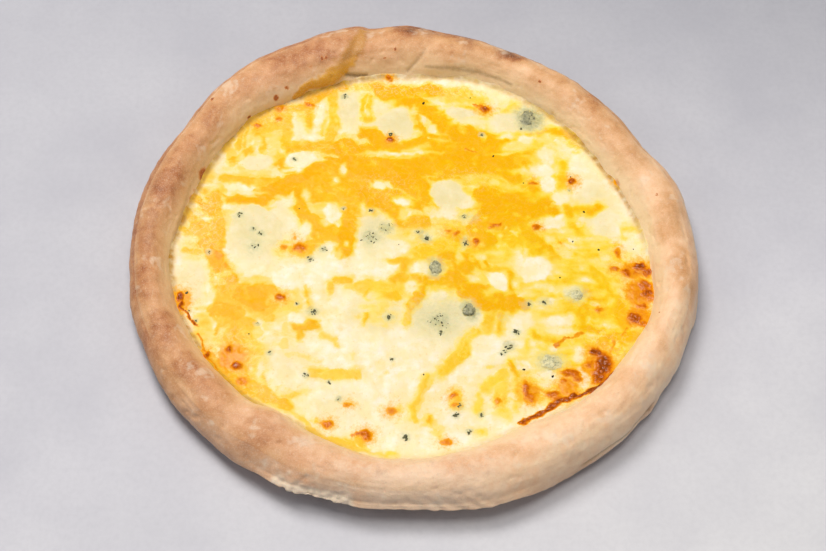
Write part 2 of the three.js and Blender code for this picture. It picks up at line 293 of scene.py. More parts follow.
class CrustGrid:
    """The fine crust before its relief: points by angle and row, and what each of them is part of."""

    def __init__(self, tree):
        profile = crust_profile(tree)
        radius, height = profile[..., 0], profile[..., 1]
        everywhere = 0 * radius
        angle = 2 * np.pi * np.arange(AROUND)[:, None] / AROUND
        self.degrees = np.degrees(angle) + everywhere
        self.rows = profile.shape[1]

        # The low side is fuller at the right and near right, and drawn up at the near left.
        low_side = (np.arange(self.rows) < OUTER_STEPS)[None, :] * smooth(radius, *LOW_SIDE)
        full = 1 - smooth(np.abs((self.degrees - FULLER_AT + 180) % 360 - 180), *FULLER_FADE)
        radius = radius + FULLER * full * low_side * bell(height - FULLER_HEIGHT, 4)
        drawn_up = within(self.degrees, LIFTED, LIFTED_FADE) * low_side
        radius = radius + LEANING_OUT * drawn_up * bell(height - LEANING_HEIGHT, 5)
        height = height + LIFT * drawn_up * (1 - smooth(height, 0, LIFTED_BELOW))
        self.points = np.stack([radius * np.cos(angle), radius * np.sin(angle), height], -1)
        self.x, self.y, self.z = (self.points[..., axis] for axis in range(3))

        self.steps = np.arange(self.rows)[None, :] - (BASE_RINGS - 1)
        self.is_outside = (self.steps < OUTER_STEPS) + everywhere
        self.on_rim = ((self.steps >= 0) & (self.steps <= ALONG)) + everywhere
        self.outer_side = self.is_outside * self.on_rim
        self.inner_side = self.on_rim * (1 - self.is_outside)
        # How freely the surface may move: not at all where it rests, or in the cheese.
        free_outside = smooth(self.z, 0.3, 4)
        free_inside = smooth(self.z, CHEESE_LEVEL - 1, CHEESE_LEVEL + 3)
        self.freedom = self.on_rim * np.where(self.is_outside > 0, free_outside, free_inside)

        # Points for noise drawn out along the rim.
        run = np.linspace(0, WRINKLES_FROM, ALONG + 1)
        run = np.pad(run, (BASE_RINGS - 1, len(FLOOR_SHARES)), mode="edge")[None, :] + everywhere
        wide = [WRINKLES_ROUND * turned(angle) + everywhere for turned in (np.cos, np.sin)]
        self.drawn = np.stack([run, *wide], -1)

    def normals(self):
        """Outward normals, from the grid's two directions."""
        round_way = np.roll(self.points, -1, 0) - np.roll(self.points, 1, 0)
        over_way = np.gradient(self.points, axis=1)
        normal = np.cross(round_way, over_way)
        return normal / (np.linalg.norm(normal, axis=-1, keepdims=True) + 1e-9)

    def faces(self):
        """Quads over the grid, and fans about the two middles, which are the last two points."""
        number = np.arange(AROUND * self.rows).reshape(AROUND, self.rows)
        after = np.roll(number, -1, 0)
        quads = np.stack([number[:, :-1], after[:, :-1], after[:, 1:], number[:, 1:]], -1)
        below, above = AROUND * self.rows, AROUND * self.rows + 1
        faces = quads.reshape(-1, 4).tolist()
        faces += [(below, after[i, 0], number[i, 0]) for i in range(AROUND)]
        faces += [(above, number[i, -1], after[i, -1]) for i in range(AROUND)]
        return faces


def find_marks(grid, tree):
    """Where the crust's own marks lie: its lines by the distance from them, the rest as shares."""
    points, z, degrees = grid.points, grid.z, grid.degrees
    wander = 0.35 * middling(points, 4) + 0.2 * fine(points, 1.8)
    melt = 1 - smooth(near_path(points, RUN, tree) + wander, 0.3, 1.35)
    torn_height = TORN_HEIGHT + 1.5 * middling(points, 6)
    return SimpleNamespace(
        crease=near_path(points + 0.5 * fine(points, 4)[..., None], CREASE, tree),
        gap=near_path(points, GAP, tree),
        melt=melt * grid.on_rim * smooth(z, CHEESE_LEVEL - 2, CHEESE_LEVEL),
        torn=within(degrees, TORN, 2) * grid.outer_side * bell(z - torn_height, 4.2),
        pinched=within(degrees, PINCHED, 4) * grid.outer_side,
        over_fold=z - FOLD_HEIGHT - 0.7 * broad(points, 14),
        layered=within(degrees, LAYERED, 4) * grid.outer_side * bell(z - LAYERED_HEIGHT, 6),
        spots=near_spots(points, tree) * (1 - smooth(-z, -6, -4)),
    )


def dough_relief(grid):
    """Swells of each size, wrinkles that run along the rim, and dents."""
    points = grid.points
    swell = 0.42 * broad(points, 17) + 0.28 * middling(points, 7.5)
    swell += 0.13 * fine(points, 3.4) + 0.07 * fine(points + 40, 1.8)
    wrinkles = smooth(np.abs(middling(grid.drawn, 2.6)), 0.22, 0.0)
    swell -= 0.15 * wrinkles * smooth(broad(points, 21), -0.35, 0.45)
    swell -= 0.4 * smooth(fine(points + 90, 4.2), 0.42, 0.75)
    return swell * grid.freedom


def mark_relief(grid, marks):
    """How far each mark stands out, or goes in where that is negative."""
    points = grid.points
    # At the back, the dough on the left lies over the rest, with a soft step beside it.
    (x0, y0), (x1, y1) = OVERLAP
    length = math.hypot(x1 - x0, y1 - y0)
    aside = ((grid.x - x0) * (y1 - y0) - (grid.y - y0) * (x1 - x0)) / length
    aside += 0.8 * middling(points, 9)
    at_back = smooth(grid.y, 104, 114) * grid.freedom
    swell = at_back * (STEP_UP * bell(aside - 2.4, 2.6) - STEP_DOWN * bell(aside + 0.9, 1.8))
    swell -= grid.inner_side * CREASE_DEPTH * bell(marks.crease, 0.9)
    swell -= grid.inner_side * GAP_DEPTH * bell(marks.gap, 0.9)
    swell += grid.freedom * RUN_HEIGHT * smooth(marks.melt, 0.1, 0.9)
    swell += marks.torn * TORN_CRUMBS * fine(points + 15, 2.6)
    swell += marks.torn * TORN_RIDGES * np.abs(fine(points + 25, 4))
    swell += marks.pinched * FOLD_RISE * bell(marks.over_fold + 2.2, 1.5)
    swell -= marks.pinched * FOLD_DEPTH * bell(marks.over_fold, 0.8)
    fall = grid.z + LAYERS_FALL * (grid.degrees - 278) + 1.2 * broad(points, 15)
    swell += marks.layered * LAYER_DEPTH * np.sin(fall * 1.2 + 1.5 * middling(points, 9))
    return swell


def make_crust(tree):
    grid = CrustGrid(tree)
    marks = find_marks(grid, tree)
    swell = dough_relief(grid) + mark_relief(grid, marks)
    points = grid.points + grid.normals() * swell[..., None]
    points[..., 2] += (grid.steps < 0) * HOLLOWS * smooth(middling(grid.points, 14), -0.1, 0.6)
    points[..., 2] = np.maximum(points[..., 2], 0)
    middles = [[0, 0, BASE_MIDDLE_HEIGHT], [0, 0, BASE_THICKNESS]]
    piece = make_mesh("baked_crust", np.concatenate([points.reshape(-1, 3), middles]), grid.faces())

    fields = {
        "painted_groove_shade": painted_shade_lines(grid, marks, points, tree), "melt": marks.melt,
        "crest": smooth(grid.z, 13, 22), "spot": marks.spots, **baked_fields(grid, marks, points),
    }
    paint(piece, {name: np.append(np.clip(values, 0, 1), [0, 0]) for name, values in fields.items()})
    return piece


# Baked patches on the rim, in plan: x, y, half width, half depth, strength.
BAKED_PATCHES = [
    (-66, 128, 24, 11, 0.28), (-108, 84, 10, 12, 0.2), (-136, 46, 10, 24, 0.32), (-123, 46, 7, 8, 0.4),
    (-142, 8, 9, 22, 0.45), (-31, 148, 22, 7, 0.3), (4, 146, 14, 8, 0.8), (32, 144, 15, 7, 0.8),
    (30, 134, 9, 6, 0.5), (60, 129, 13, 7, 0.95), (84, 112, 14, 10, 0.3), (102, 94, 10, 15, 0.75),
    (114, 82, 12, 14, 0.5), (118, 58, 9, 11, 0.6), (138, 18, 8, 20, 0.7), (140, -15, 6, 12, 0.95),
    (145, -28, 4, 10, 0.8), (126, -58, 3.5, 10, 0.4), (106, -80, 9, 6, 0.45), (92, -98, 16, 10, 0.2),
    (-124, -52, 12, 18, 0.4), (-96, -92, 12, 14, 0.3), (-70, -114, 18, 8, 0.5), (-50, -127, 16, 6, 0.4),
    (-20, -128, 14, 6, 0.35), (22, -128, 16, 6, 0.4), (48, -121, 12, 6, 0.55), (-112, -74, 8, 10, 0.3),
    (-140, -24, 8, 16, 0.5),
]
# Browned and orange spots on the rim: x, y, half width, half depth, strength.
SPOTS = [
    (-114.6, 51.3, 3.2, 4.2, 0.55), (-119, 35.9, 2.9, 2.4, 0.72), (-76.4, 101.3, 1.5, 2.6, 0.6),
    (-76, 98, 2.6, 2.0, 0.75), (-90.7, 90, 1.7, 1.1, 0.8), (-62.5, 102.1, 2.2, 1.4, 0.7),
    (-70.3, 106.5, 1.8, 0.8, 0.5), (111.7, 45.8, 2.6, 2.8, 0.32), (-50.7, 122.9, 1, 1, 0.95),
    (-48.3, 123.3, 0.8, 0.8, 0.9), (-9.6, 131, 0.8, 0.8, 0.85), (-15.5, 127, 0.8, 0.8, 0.6),
    (-111.3, 96.3, 1, 0.9, 0.85), (-111, 94.9, 0.8, 0.8, 0.8), (70.4, 124.1, 0.8, 0.8, 0.9),
    (71.7, 107.8, 0.8, 0.8, 0.95), (66, 128, 5, 1.6, 0.5), (131, 30, 0.7, 0.7, 0.6),
    (-57, 118, 1.1, 1, 0.35), (127, -41, 0.6, 0.6, 0.7), (-118, 41, 2.4, 1.2, 0.25),
    (100.5, 98.5, 3.4, 0.9, 0.4), (-84, 94, 2, 1, 0.3),
]


def near_spots(points, tree):
    """The strongest spot at each point, with distances taken in space."""
    wobble = np.stack([fine(points + shift, 1.7) for shift in (0, 9, 21)], -1)
    shifted = points + 0.5 * wobble
    heights = height_at(tree, [spot[0] for spot in SPOTS], [spot[1] for spot in SPOTS])
    most = np.zeros(points.shape[:-1])
    for (x, y, half_x, half_y, strength), z in zip(SPOTS, heights):
        halves = [half_x, half_y, (half_x + half_y) / 2]
        away = np.linalg.norm((shifted - [x, y, z]) / halves, axis=-1)
        most = np.maximum(most, strength * (1 - smooth(away, 0.45, 1.35)))
    return most


def painted_shade_lines(grid, marks, points, tree):
    """Painted shade: dark lines in the crease, the gap, the pinched fold, and those along the foot of the
    wall.
    """
    far_line = near_path(points, FAR_FOOT, tree) + 0.3 * fine(points, 2.5)
    left_line = near_path(points, LEFT_FOOT, tree) + 0.5 * fine(points, 3)
    return np.max([
        grid.inner_side * 0.4 * bell(marks.crease, 0.8), grid.inner_side * bell(marks.gap, 0.85),
        0.55 * marks.pinched * bell(marks.over_fold, 0.7), 0.65 * grid.inner_side * bell(far_line, 0.8),
        0.25 * grid.inner_side * bell(left_line, 0.8),
    ], axis=0)


def baked_fields(grid, marks, points):
    """What the crust's material reads of how it is baked, one value a point."""
    x, y, z = points[..., 0], points[..., 1], points[..., 2]
    top = smooth(z, 13, 20)
    to_left = smooth(-x, -20, 110)
    to_right = smooth(x, 20, 110)
    near_left = smooth(-y, 60, 115) * smooth(-x, -75, -10)
    tip = bell(grid.degrees - PINCHED_TIP, 1.2) * grid.outer_side * bell(z - MARK_HEIGHT, 2.4)
    scorch = bell(grid.degrees - SCORCHED_AT, 1.3) * grid.outer_side * bell(z - MARK_HEIGHT, 2.6)

    # How brown it is: most at the left and at the back, least on the inner wall.
    warp_x = x + 3 * middling(points, 12) + 1.2 * fine(points, 4)
    warp_y = y + 3 * middling(points + 60, 12) + 1.2 * fine(points + 60, 4)
    bake = 0.5 * mottle(warp_x, warp_y, BAKED_PATCHES, 0.8) * blend(0.5, 1, top)
    bake += blend(0.14, 0.55, to_left)
    bake += 0.1 * broad(points, 18) + 0.1 * middling(points, 6) + 0.06 * fine(points, 2.2)
    to_back = 0.22 * smooth(y, 20, 80) + 0.14 * smooth(y, 95, 140)
    bake += 0.05 * smooth(y, -50, 20) + to_back * (1 - 0.85 * to_left)
    bake -= 0.14 * near_left
    # The inner wall is less brown low down, and more so at the far left: partly its own paler dough,
    # partly painted light where it faces away from the lamps.
    bake -= 0.3 * grid.inner_side * (1 - smooth(z, 11, 24))
    far_left_wall = grid.inner_side * smooth(y, 40, 90) * smooth(-x, 20, 60)
    bake -= 0.3 * far_left_wall * (1 - smooth(z, 17, 24))
    # The side turns browner as it curves in under the rim: partly a baked underside, partly painted shade.
    bake += 0.55 * grid.outer_side * (1 - smooth(z + 1.2 * middling(points, 8), 1.5, 8))
    bake += 0.3 * marks.pinched * bell(z - 10, 2) * smooth(middling(points, 9), -0.3, 0.5)
    bake += 0.7 * tip + 0.6 * scorch

    # Blush: a pinker dough at the left and near left, paler at the right.
    blush = 0.75 * smooth(-x, -30, 70) * blend(0.5, 1, smooth(broad(points + 33, 30), -0.5, 0.5))
    # Grease low on the inner wall, whose pale cream tone there is partly painted light.
    grease_and_painted_light = grid.inner_side * (1 - smooth(z + 3 * middling(points, 12), 9, 25))
    floury = smooth(broad(points + 70, 13) + 0.6 * fine(points + 70, 3), 0.1, 0.9)
    near_right = smooth(x, 10, 90) * smooth(-y, 30, 100)
    # Flour, and a paler tone on the lower right and near right outer side, which is partly painted light.
    flour_and_painted_light = np.max([
        1.1 * marks.torn * (1 - scorch),
        0.5 * floury * blend(0.4, 1, top) + 0.3 * near_left * grid.is_outside,
        0.5 * to_right * grid.outer_side * (1 - smooth(z, 12, 20)),
        0.36 * near_right * grid.is_outside,
    ], axis=0)
    return {
        "bake": bake, "blush": np.maximum(blush, 0.8 * near_left), "grease_and_painted_light": grease_and_painted_light, "flour_and_painted_light": flour_and_painted_light,
        "under": 0.42 * (grid.steps < 1) + 0 * x,
    }


# ---- Cheese -----------------------------------------------------------------------------------

CHEESE_RINGS = 172
EVEN_RINGS = 154           # how many of them lie evenly over the middle
FINE_BAND = 7.5            # how far from the edge the rings lie closer together
BURIED = 2.4               # how far the cheese goes on inside the rim
FOOT_DRAWN_IN = 3.4
FOOT_HEIGHT = 5.35
ISLANDS = 420
ISLANDS_REACH = 118
TOASTED_REACH = 2.6        # how far the toasted halo reaches round a blister
TOASTED = 0.34             # how strong it is beside the blister
# Heights and depths in the cheese's surface.
SHRED_HEIGHT = 0.34
WHITE_HEIGHT = 0.25
BUBBLE_DEPTH = 0.3
BLISTER_HEIGHT = 0.55
CRINKLE_HEIGHT = 1.15
BLUE_HEIGHT = 0.2
CLIMB = (0.2, 2.2)         # the least and the most that it climbs the rim
CLIMB_WIDTH = 1.9          # how far from the rim it begins to climb
CLIMB_ROUND = 60           # radius of the circle on which the noise for the climb is read

# Melted shreds of cheddar, in plan: the points of each, then its width and its richness.
SHREDS = [
    # Far left.
    ((-101, 70), (-99, 61), 5, .5), ((-99, 63), (-88, 71), 5, .8), ((-96, 86), (-97, 72), 4.5, .72),
    ((-101, 80), (-104, 70), 4, .6), ((-91, 90), (-72, 97), 9, .65), ((-86, 83), (-72, 87), 8, .65),
    ((-83, 76), (-82, 69), 4, .75), ((-70, 91), (-70, 72), 7, .7), ((-58, 101), (-57, 86), 5, .8),
    ((-70, 98), (-58, 100), 5, .75), ((-77, 68), (-70, 61), 7, .6), ((-72, 62), (-66, 54), 5, .85),
    ((-44, 111), (-44, 96), (-43, 87), (-46, 77), 6.5, .68), ((-68, 72), (-40, 71), 8, .78),
    ((-27, 107), (-28, 97), (-26, 91), 3.2, .7), ((-24, 106), (-24, 92), 3.2, .75),
    ((-28, 91), (-22, 92), 4, .5), ((-36, 74), (-37, 60), 10, .97), ((-40, 71), (-26, 70), 9, .97),
    ((-28, 82), (-20, 81), 7, .95), ((-22, 81), (-14, 70), 10, .97), ((-30, 68), (-8, 70), 6, .95),
    ((-14, 71), (6, 76), 6, .92), ((-38, 59), (6, 58), 13, .92), ((-103, 49.5), (-74, 47.5), 6.5, .75),
    ((-76, 43), (-62, 49), (-51, 57), 8, .97), ((-100, 36), (-76, 35.4), 6, 1.),
    ((-82, 42), (-68, 43), 9, .95), ((-56, 46), (-44, 54), 16, .82), ((-46, 60), (-40, 58), 8, .85),
    ((-44, 45), (-26, 44), 12, .85), ((-56, 37), (-30, 37), 8, .8), ((-36, 52), (-12, 51), 6, .95),
    ((-61, 42), (-60, 30), 6, .97), ((-60, 30), (-52, 14), 8, .85), ((-54, 20), (-40, 12), 12, .82),
    ((-50, 8), (-54, 5), 8, .8), ((-33, 38), (-34, 20), 9, .82), ((-34, 20), (-37, 2), 9, .97),
    ((-40, 34), (-28, 30), 11, .75), ((-24, 40), (-8, 28), 12, .98), ((-14, 42), (8, 30), 7, .95),
    ((-6, 48), (2, 42), 11, .97), ((0, 53), (6, 45), 10, .95), ((-8, 22), (6, 20), 9, .82),
    ((-109, 40), (-106, 25), (-103, 8), 9, .82), ((-112, 41), (-104, 43), 7, .6),
    ((-112, 32), (-108, 20), 4, .6), ((-120, 26), (-112, 18), 5, .7), ((-116, 18), (-108, 8), 8, .8),
    ((-112, 8), (-104, 0), 6, .9), ((-122, 17), (-115, 12), 4, .65), ((-118, 36), (-111, 30), 4.5, .9),
    ((-120, 4), (-112, 2), 3, .7), ((-32, 113), (-14, 113), 6, .6), ((-58, 104), (-46, 110), 5, .97),
    ((-43, 117), (-38, 112), 6, .97), ((-49, 90), (-50, 80), 3, .7), ((-86, 80), (-86, 74), 4, .78),
    ((-93, 86), (-93, 72), 3, .7), ((-79, 64), (-75, 60), 4, .8), ((-68, 68), (-67, 60), 4, .88),
    ((-48, 65), (-40, 64), 3, .97), ((-72, 56), (-68, 53), 3, .88), ((-103, 39), (-93, 39), 3, .8),
    ((-21, 51), (-16, 50), 4, .97), ((-23, 33), (-21, 27), 3, .85), ((-59, 26), (-55, 22), 3, .92),
    ((-64, 4), (-56, 0), 5, .7), ((-20, 113), (-10, 104), (4, 102), 9, .93),
    ((-13, 110), (6, 110), 10, .88),
    # Far right.
    ((-4, 111), (14, 110), 9, .88), ((12, 111), (30, 108), 9, .62), ((30, 109), (42, 103), 8, .58),
    ((20, 104), (33, 106), 6, .55), ((2, 101), (15, 93), (22, 86), 12, .95),
    ((20, 89), (25, 78), 10, .98), ((14, 88), (9, 80), 5, .82), ((3, 92), (5, 85), 3.5, .9),
    ((18, 84), (30, 82), 9, .92), ((28, 79), (48, 75), 13, .97), ((12, 74), (20, 72), 8, .87),
    ((10, 64), (52, 64), 13, .97), ((15, 71), (46, 70), 11, .93), ((-4, 57), (55, 56), 10, .92),
    ((-4, 72), (14, 76), 4, .85), ((52, 76), (64, 75), 6, .45), ((66, 75), (72, 73), 6, .62),
    ((58, 68), (71, 68), 8, .78), ((58, 62), (64, 59), 8, .75), ((50, 57), (57, 50), 9, .95),
    ((60, 52), (70, 44), 8, .66), ((66, 44), (76, 33), 9, .93), ((44, 48), (62, 42), 9, .66),
    ((40, 39), (52, 34), 14, .98), ((42, 30), (75, 30), 12, .98), ((38, 24), (66, 25), 8, .95),
    ((35, 20), (50, 22), 10, .93), ((33, 17), (41, 8), 9, .92), ((24, 46), (42, 49), 8, .55),
    ((10, 50), (26, 50), 5, .88), ((11, 43), (13, 32), 5, .8), ((20, 53), (50, 53), 6, .68),
    ((5, 49), (9, 40), 8, .9), ((-3, 45), (8, 38), 9, .92), ((57, 20), (70, 5), 7, .85),
    ((60, 22), (62, 8), 10, .75), ((50, 12), (60, 3), 8, .75), ((46, 14), (52, 4), 8, .6),
    ((79, 65), (79, 52), 4, .62), ((83, 60), (81, 42), 7, .75), ((79, 66), (86, 60), 3.5, .5),
    ((86, 29), (101, 30), 6, .82), ((84, 31), (86, 26), 6, .85), ((86, 20), (92, 12), 7, .72),
    ((76, 13), (81, 8), 6, .62), ((110, 17), (121, 16), 4.5, .55), ((112, 20), (112, 12), 4, .6),
    ((64, 80), (72, 83), (82, 83), (90, 76), (92, 71), 4, .85), ((53, 95), (59, 100), 7, .62),
    ((80, 8), (112, 6), 7, .32), ((60, 4), (76, 0), 8, .72), ((12, 79), (20, 78), 5, .97),
    ((36, 80), (43, 78), 5, .92), ((0, 86), (8, 82), 4, .85), ((61, 60), (64, 56), 4, .92),
    ((78, 58), (78, 50), 4, .9), ((80, 44), (82, 38), 4, .88), ((70, 6), (76, 3), 5, .88),
    ((40, 17), (56, 17), 4, .88), ((84, 80), (78, 81), 4, .9), ((96, 27), (101, 31), 6, 1.),
    ((90, 22), (91, 17), 3, .8), ((31, 100), (35, 98), 4, .85), ((32, 21), (36, 28), 4, .92),
    ((36, 79), (42, 77), 7, .97), ((8, 16), (22, 14), 6, .8), ((20, 11), (30, 8), 6, .85),
    ((8, 7), (30, 6), 10, .66), ((12, 22), (24, 20), 4, .45), ((12, 16), (30, 16), 6, .5),
    # Near left.
    ((-107, 4), (-102, -8), 8, .97), ((-102, -7), (-95, -15), 7, .93), ((-107, -8), (-104, -20), 3, .6),
    ((-103, -10), (-97, -18), 4, .6), ((-96, -21), (-74, -23), 9, .8), ((-88, -24), (-78, -29), 12, .93),
    ((-100, -24), (-74, -31), 13, .72), ((-102, -33), (-91, -36), 9, .87),
    ((-84, -34), (-72, -39), 5, .65), ((-72, -30), (-60, -33), 7, .5), ((-62, -22), (-57, -31), 4, .4),
    ((-59, -14), (-56, -24), (-52, -33), 3, .75), ((-27, -109), (-20, -113), 4, .75),
    ((-12, -3), (-6, -3), 5, .75), ((-60, -43.6), (-51, -43.6), 6.2, .85),
    ((-47, -48), (-40, -51), 4.5, .55), ((-42, -50), (-38, -54), 3.5, .55),
    ((-59, -46), (-57, -53), 4, .75), ((-96, -39), (-82, -46), 11, .72),
    ((-104, -37), (-100, -42), (-101, -47), 2.5, .85), ((-92, -47), (-88, -63), 10, .78),
    ((-86, -52), (-83, -66), 5, .55), ((-104, -62), (-96, -72), 4, .75),
    ((-97, -70), (-86, -80), 7, .82), ((-88, -66), (-83, -79), 5, .88), ((-79, -66), (-76, -77), 6, .6),
    ((-81, -79), (-71, -84), 9, .78), ((-72, -86), (-62, -90), 7, .82), ((-66, -80), (-57, -86), 6, .6),
    ((-62, -92), (-57, -96), (-45, -106), (-30, -113), (-8, -117), 3, .55),
    ((-66, -43), (-65, -56), 3.4, .4), ((-63, -61), (-47, -64), 3.6, .34),
    ((-30, -60), (-30, -63), 3, .3), ((-50, -70.5), (-28, -70.5), 7, .58),
    ((-44, -26), (-43, -17), 4, .6), ((-40, -15), (-32, -16), 3.4, .75), ((-33, -19), (-20, -20), 4, .5),
    ((-10, -14), (8, -14), 7, .75), ((-26, -19), (-4, -20), 8, .6), ((-22, -24), (-8, -26), 7, .72),
    ((-14, -32), (-22, -37), 6, .4), ((-2, -4), (8, -6), 8, .75), ((-4, -6), (-8, -14), 7, .8),
    ((-24, -35), (-24.5, -44), (-21, -48), 1.8, .75), ((3, -26), (0, -32), 6, .88),
    ((-1, -32), (-3, -42), 4, .62), ((-34, -88), (-30, -88), 4, .85), ((-17, -82), (-16, -88), 2, .6),
    ((-17, -90), (-6, -91), 3.5, .75), ((1, -82), (0, -90), 4, .35), ((-42, -109), (-30, -112), 6, .62),
    ((-50, -112), (-40, -106), 2, .5), ((-48, -97), (-42, -98), 4, .85),
    ((-59, -83), (-56, -84), 3, .55), ((-16, -73), (-13, -71), 3, .3),
    # Near right.
    ((4, 2), (32, 1), 9, .7), ((8, -17), (24, -18), 6, .85), ((18, -2), (30, -8), 10, .88),
    ((28, -2), (38, -6), 8, .85), ((4, -14), (26, -15), 7, .88), ((22, -12), (30, -20), 9, .93),
    ((6, -20), (1, -31), 6, .85), ((28, -22), (40, -24), 12, 1.), ((36, -26), (56, -31), 12, 1.),
    ((51, -12), (53, -28), 6, .97), ((36, -13), (40, -18), 6, .5), ((46, -36), (44, -50), 5, .78),
    ((41, -35), (36, -48), (26, -59), (16, -70), 7, .68), ((14, -70), (4, -83), (2, -90), 4, .4),
    ((9, -98), (14, -103), 5, .85), ((8, -74), (3, -82), (0, -90), (2, -97), 3.4, .62),
    ((32, -46), (24, -56), (18, -64), 4, .62), ((60, -43), (64, -50), (75, -52), 6, .82),
    ((60, -8), (58, -22), 4, .5), ((78, -6), (106, -10), 9, .42), ((72, -18), (84, -13), 5, .72),
    ((70, -28), (100, -27), 8, .38), ((96, -10), (106, -24), 8, .75), ((106, -22), (109, -42), 9, .85),
    ((90, -33), (86, -43), 8, .85), ((94, -41), (105, -42), 4.5, .8), ((88, -44), (98, -46), 6, .93),
    ((96, -36), (106, -34), 8, .72), ((98, -52), (114, -50), 9, .88), ((76, -32), (88, -34), 6, .7),
    ((58, -40), (62, -34), 3, .5), ((80, -50), (92, -54), 7, .6), ((64, -56), (76, -60), 5, .5),
    ((50, -65), (54, -73), 4, .85), ((46, -72), (37, -80), 8, .55), ((46, -78), (44, -86), 9, .5),
    ((33, -84), (34, -94), 5, .5), ((29, -102), (34, -104), 4, .7), ((50, -84), (52, -90), 6, .6),
    ((80, -72), (80, -80), 8, 1.), ((22, -82), (23, -90), 5, .8), ((72, -74), (76, -68), 4, .6),
    ((60, -52), (57, -62), 4, .5), ((40, -64), (40, -67), 4, .4), ((115, -28), (119, -18), 5, .6),
    ((106, -2), (116, -6), 5, .5), ((36, -6), (50, -10), 6, .7),
]
# Places where yellow has run thinly into the white: x, y, half width, half depth, strength.
TINTS = [
    (-82, 84, 18, 18, .5), (-62, 66, 22, 12, .4), (-86, 50, 26, 14, .42), (-108, 20, 14, 26, .5),
    (-46, 30, 18, 20, .45), (-12, 62, 30, 14, .6), (20, 94, 34, 18, .5), (40, 66, 38, 18, .85),
    (54, 36, 30, 20, .85), (72, 4, 42, 14, .7), (86, -26, 34, 26, .7), (26, 2, 32, 15, .7),
    (10, -18, 30, 11, .55), (-84, -28, 26, 18, .6), (-90, -62, 16, 26, .65), (-60, -44, 22, 22, .3),
    (-70, -84, 20, 10, .5), (-36, -112, 26, 7, .4), (36, -84, 24, 22, .18), (84, -58, 22, 18, .6),
    (58, -66, 18, 18, .3), (88, 30, 20, 14, .3), (-24, -66, 34, 10, .16), (4, -92, 14, 16, .22),
    (-4, 30, 16, 22, .45), (14, 14, 24, 8, .75), (72, -78, 22, 10, .62), (104, -58, 10, 9, .8),
    (54, -80, 5, 9, .7), (-90, -64, 12, 12, .55), (-108, -44, 6, 12, .6), (10, -98, 8, 5, .5),
    (120, -18, 8, 14, .6), (-112, 44, 5, 16, .55), (-118, 14, 6, 20, .4), (-60, 96, 16, 8, .5),
    (104, -44, 16, 14, .6), (20, 64, 30, 12, .8), (-18, -36, 12, 10, .42), (46, -92, 6, 8, .5),
    (-66, 4, 9, 8, .45), (72, 94, 10, 8, .4), (98, 52, 6, 14, .4),
]
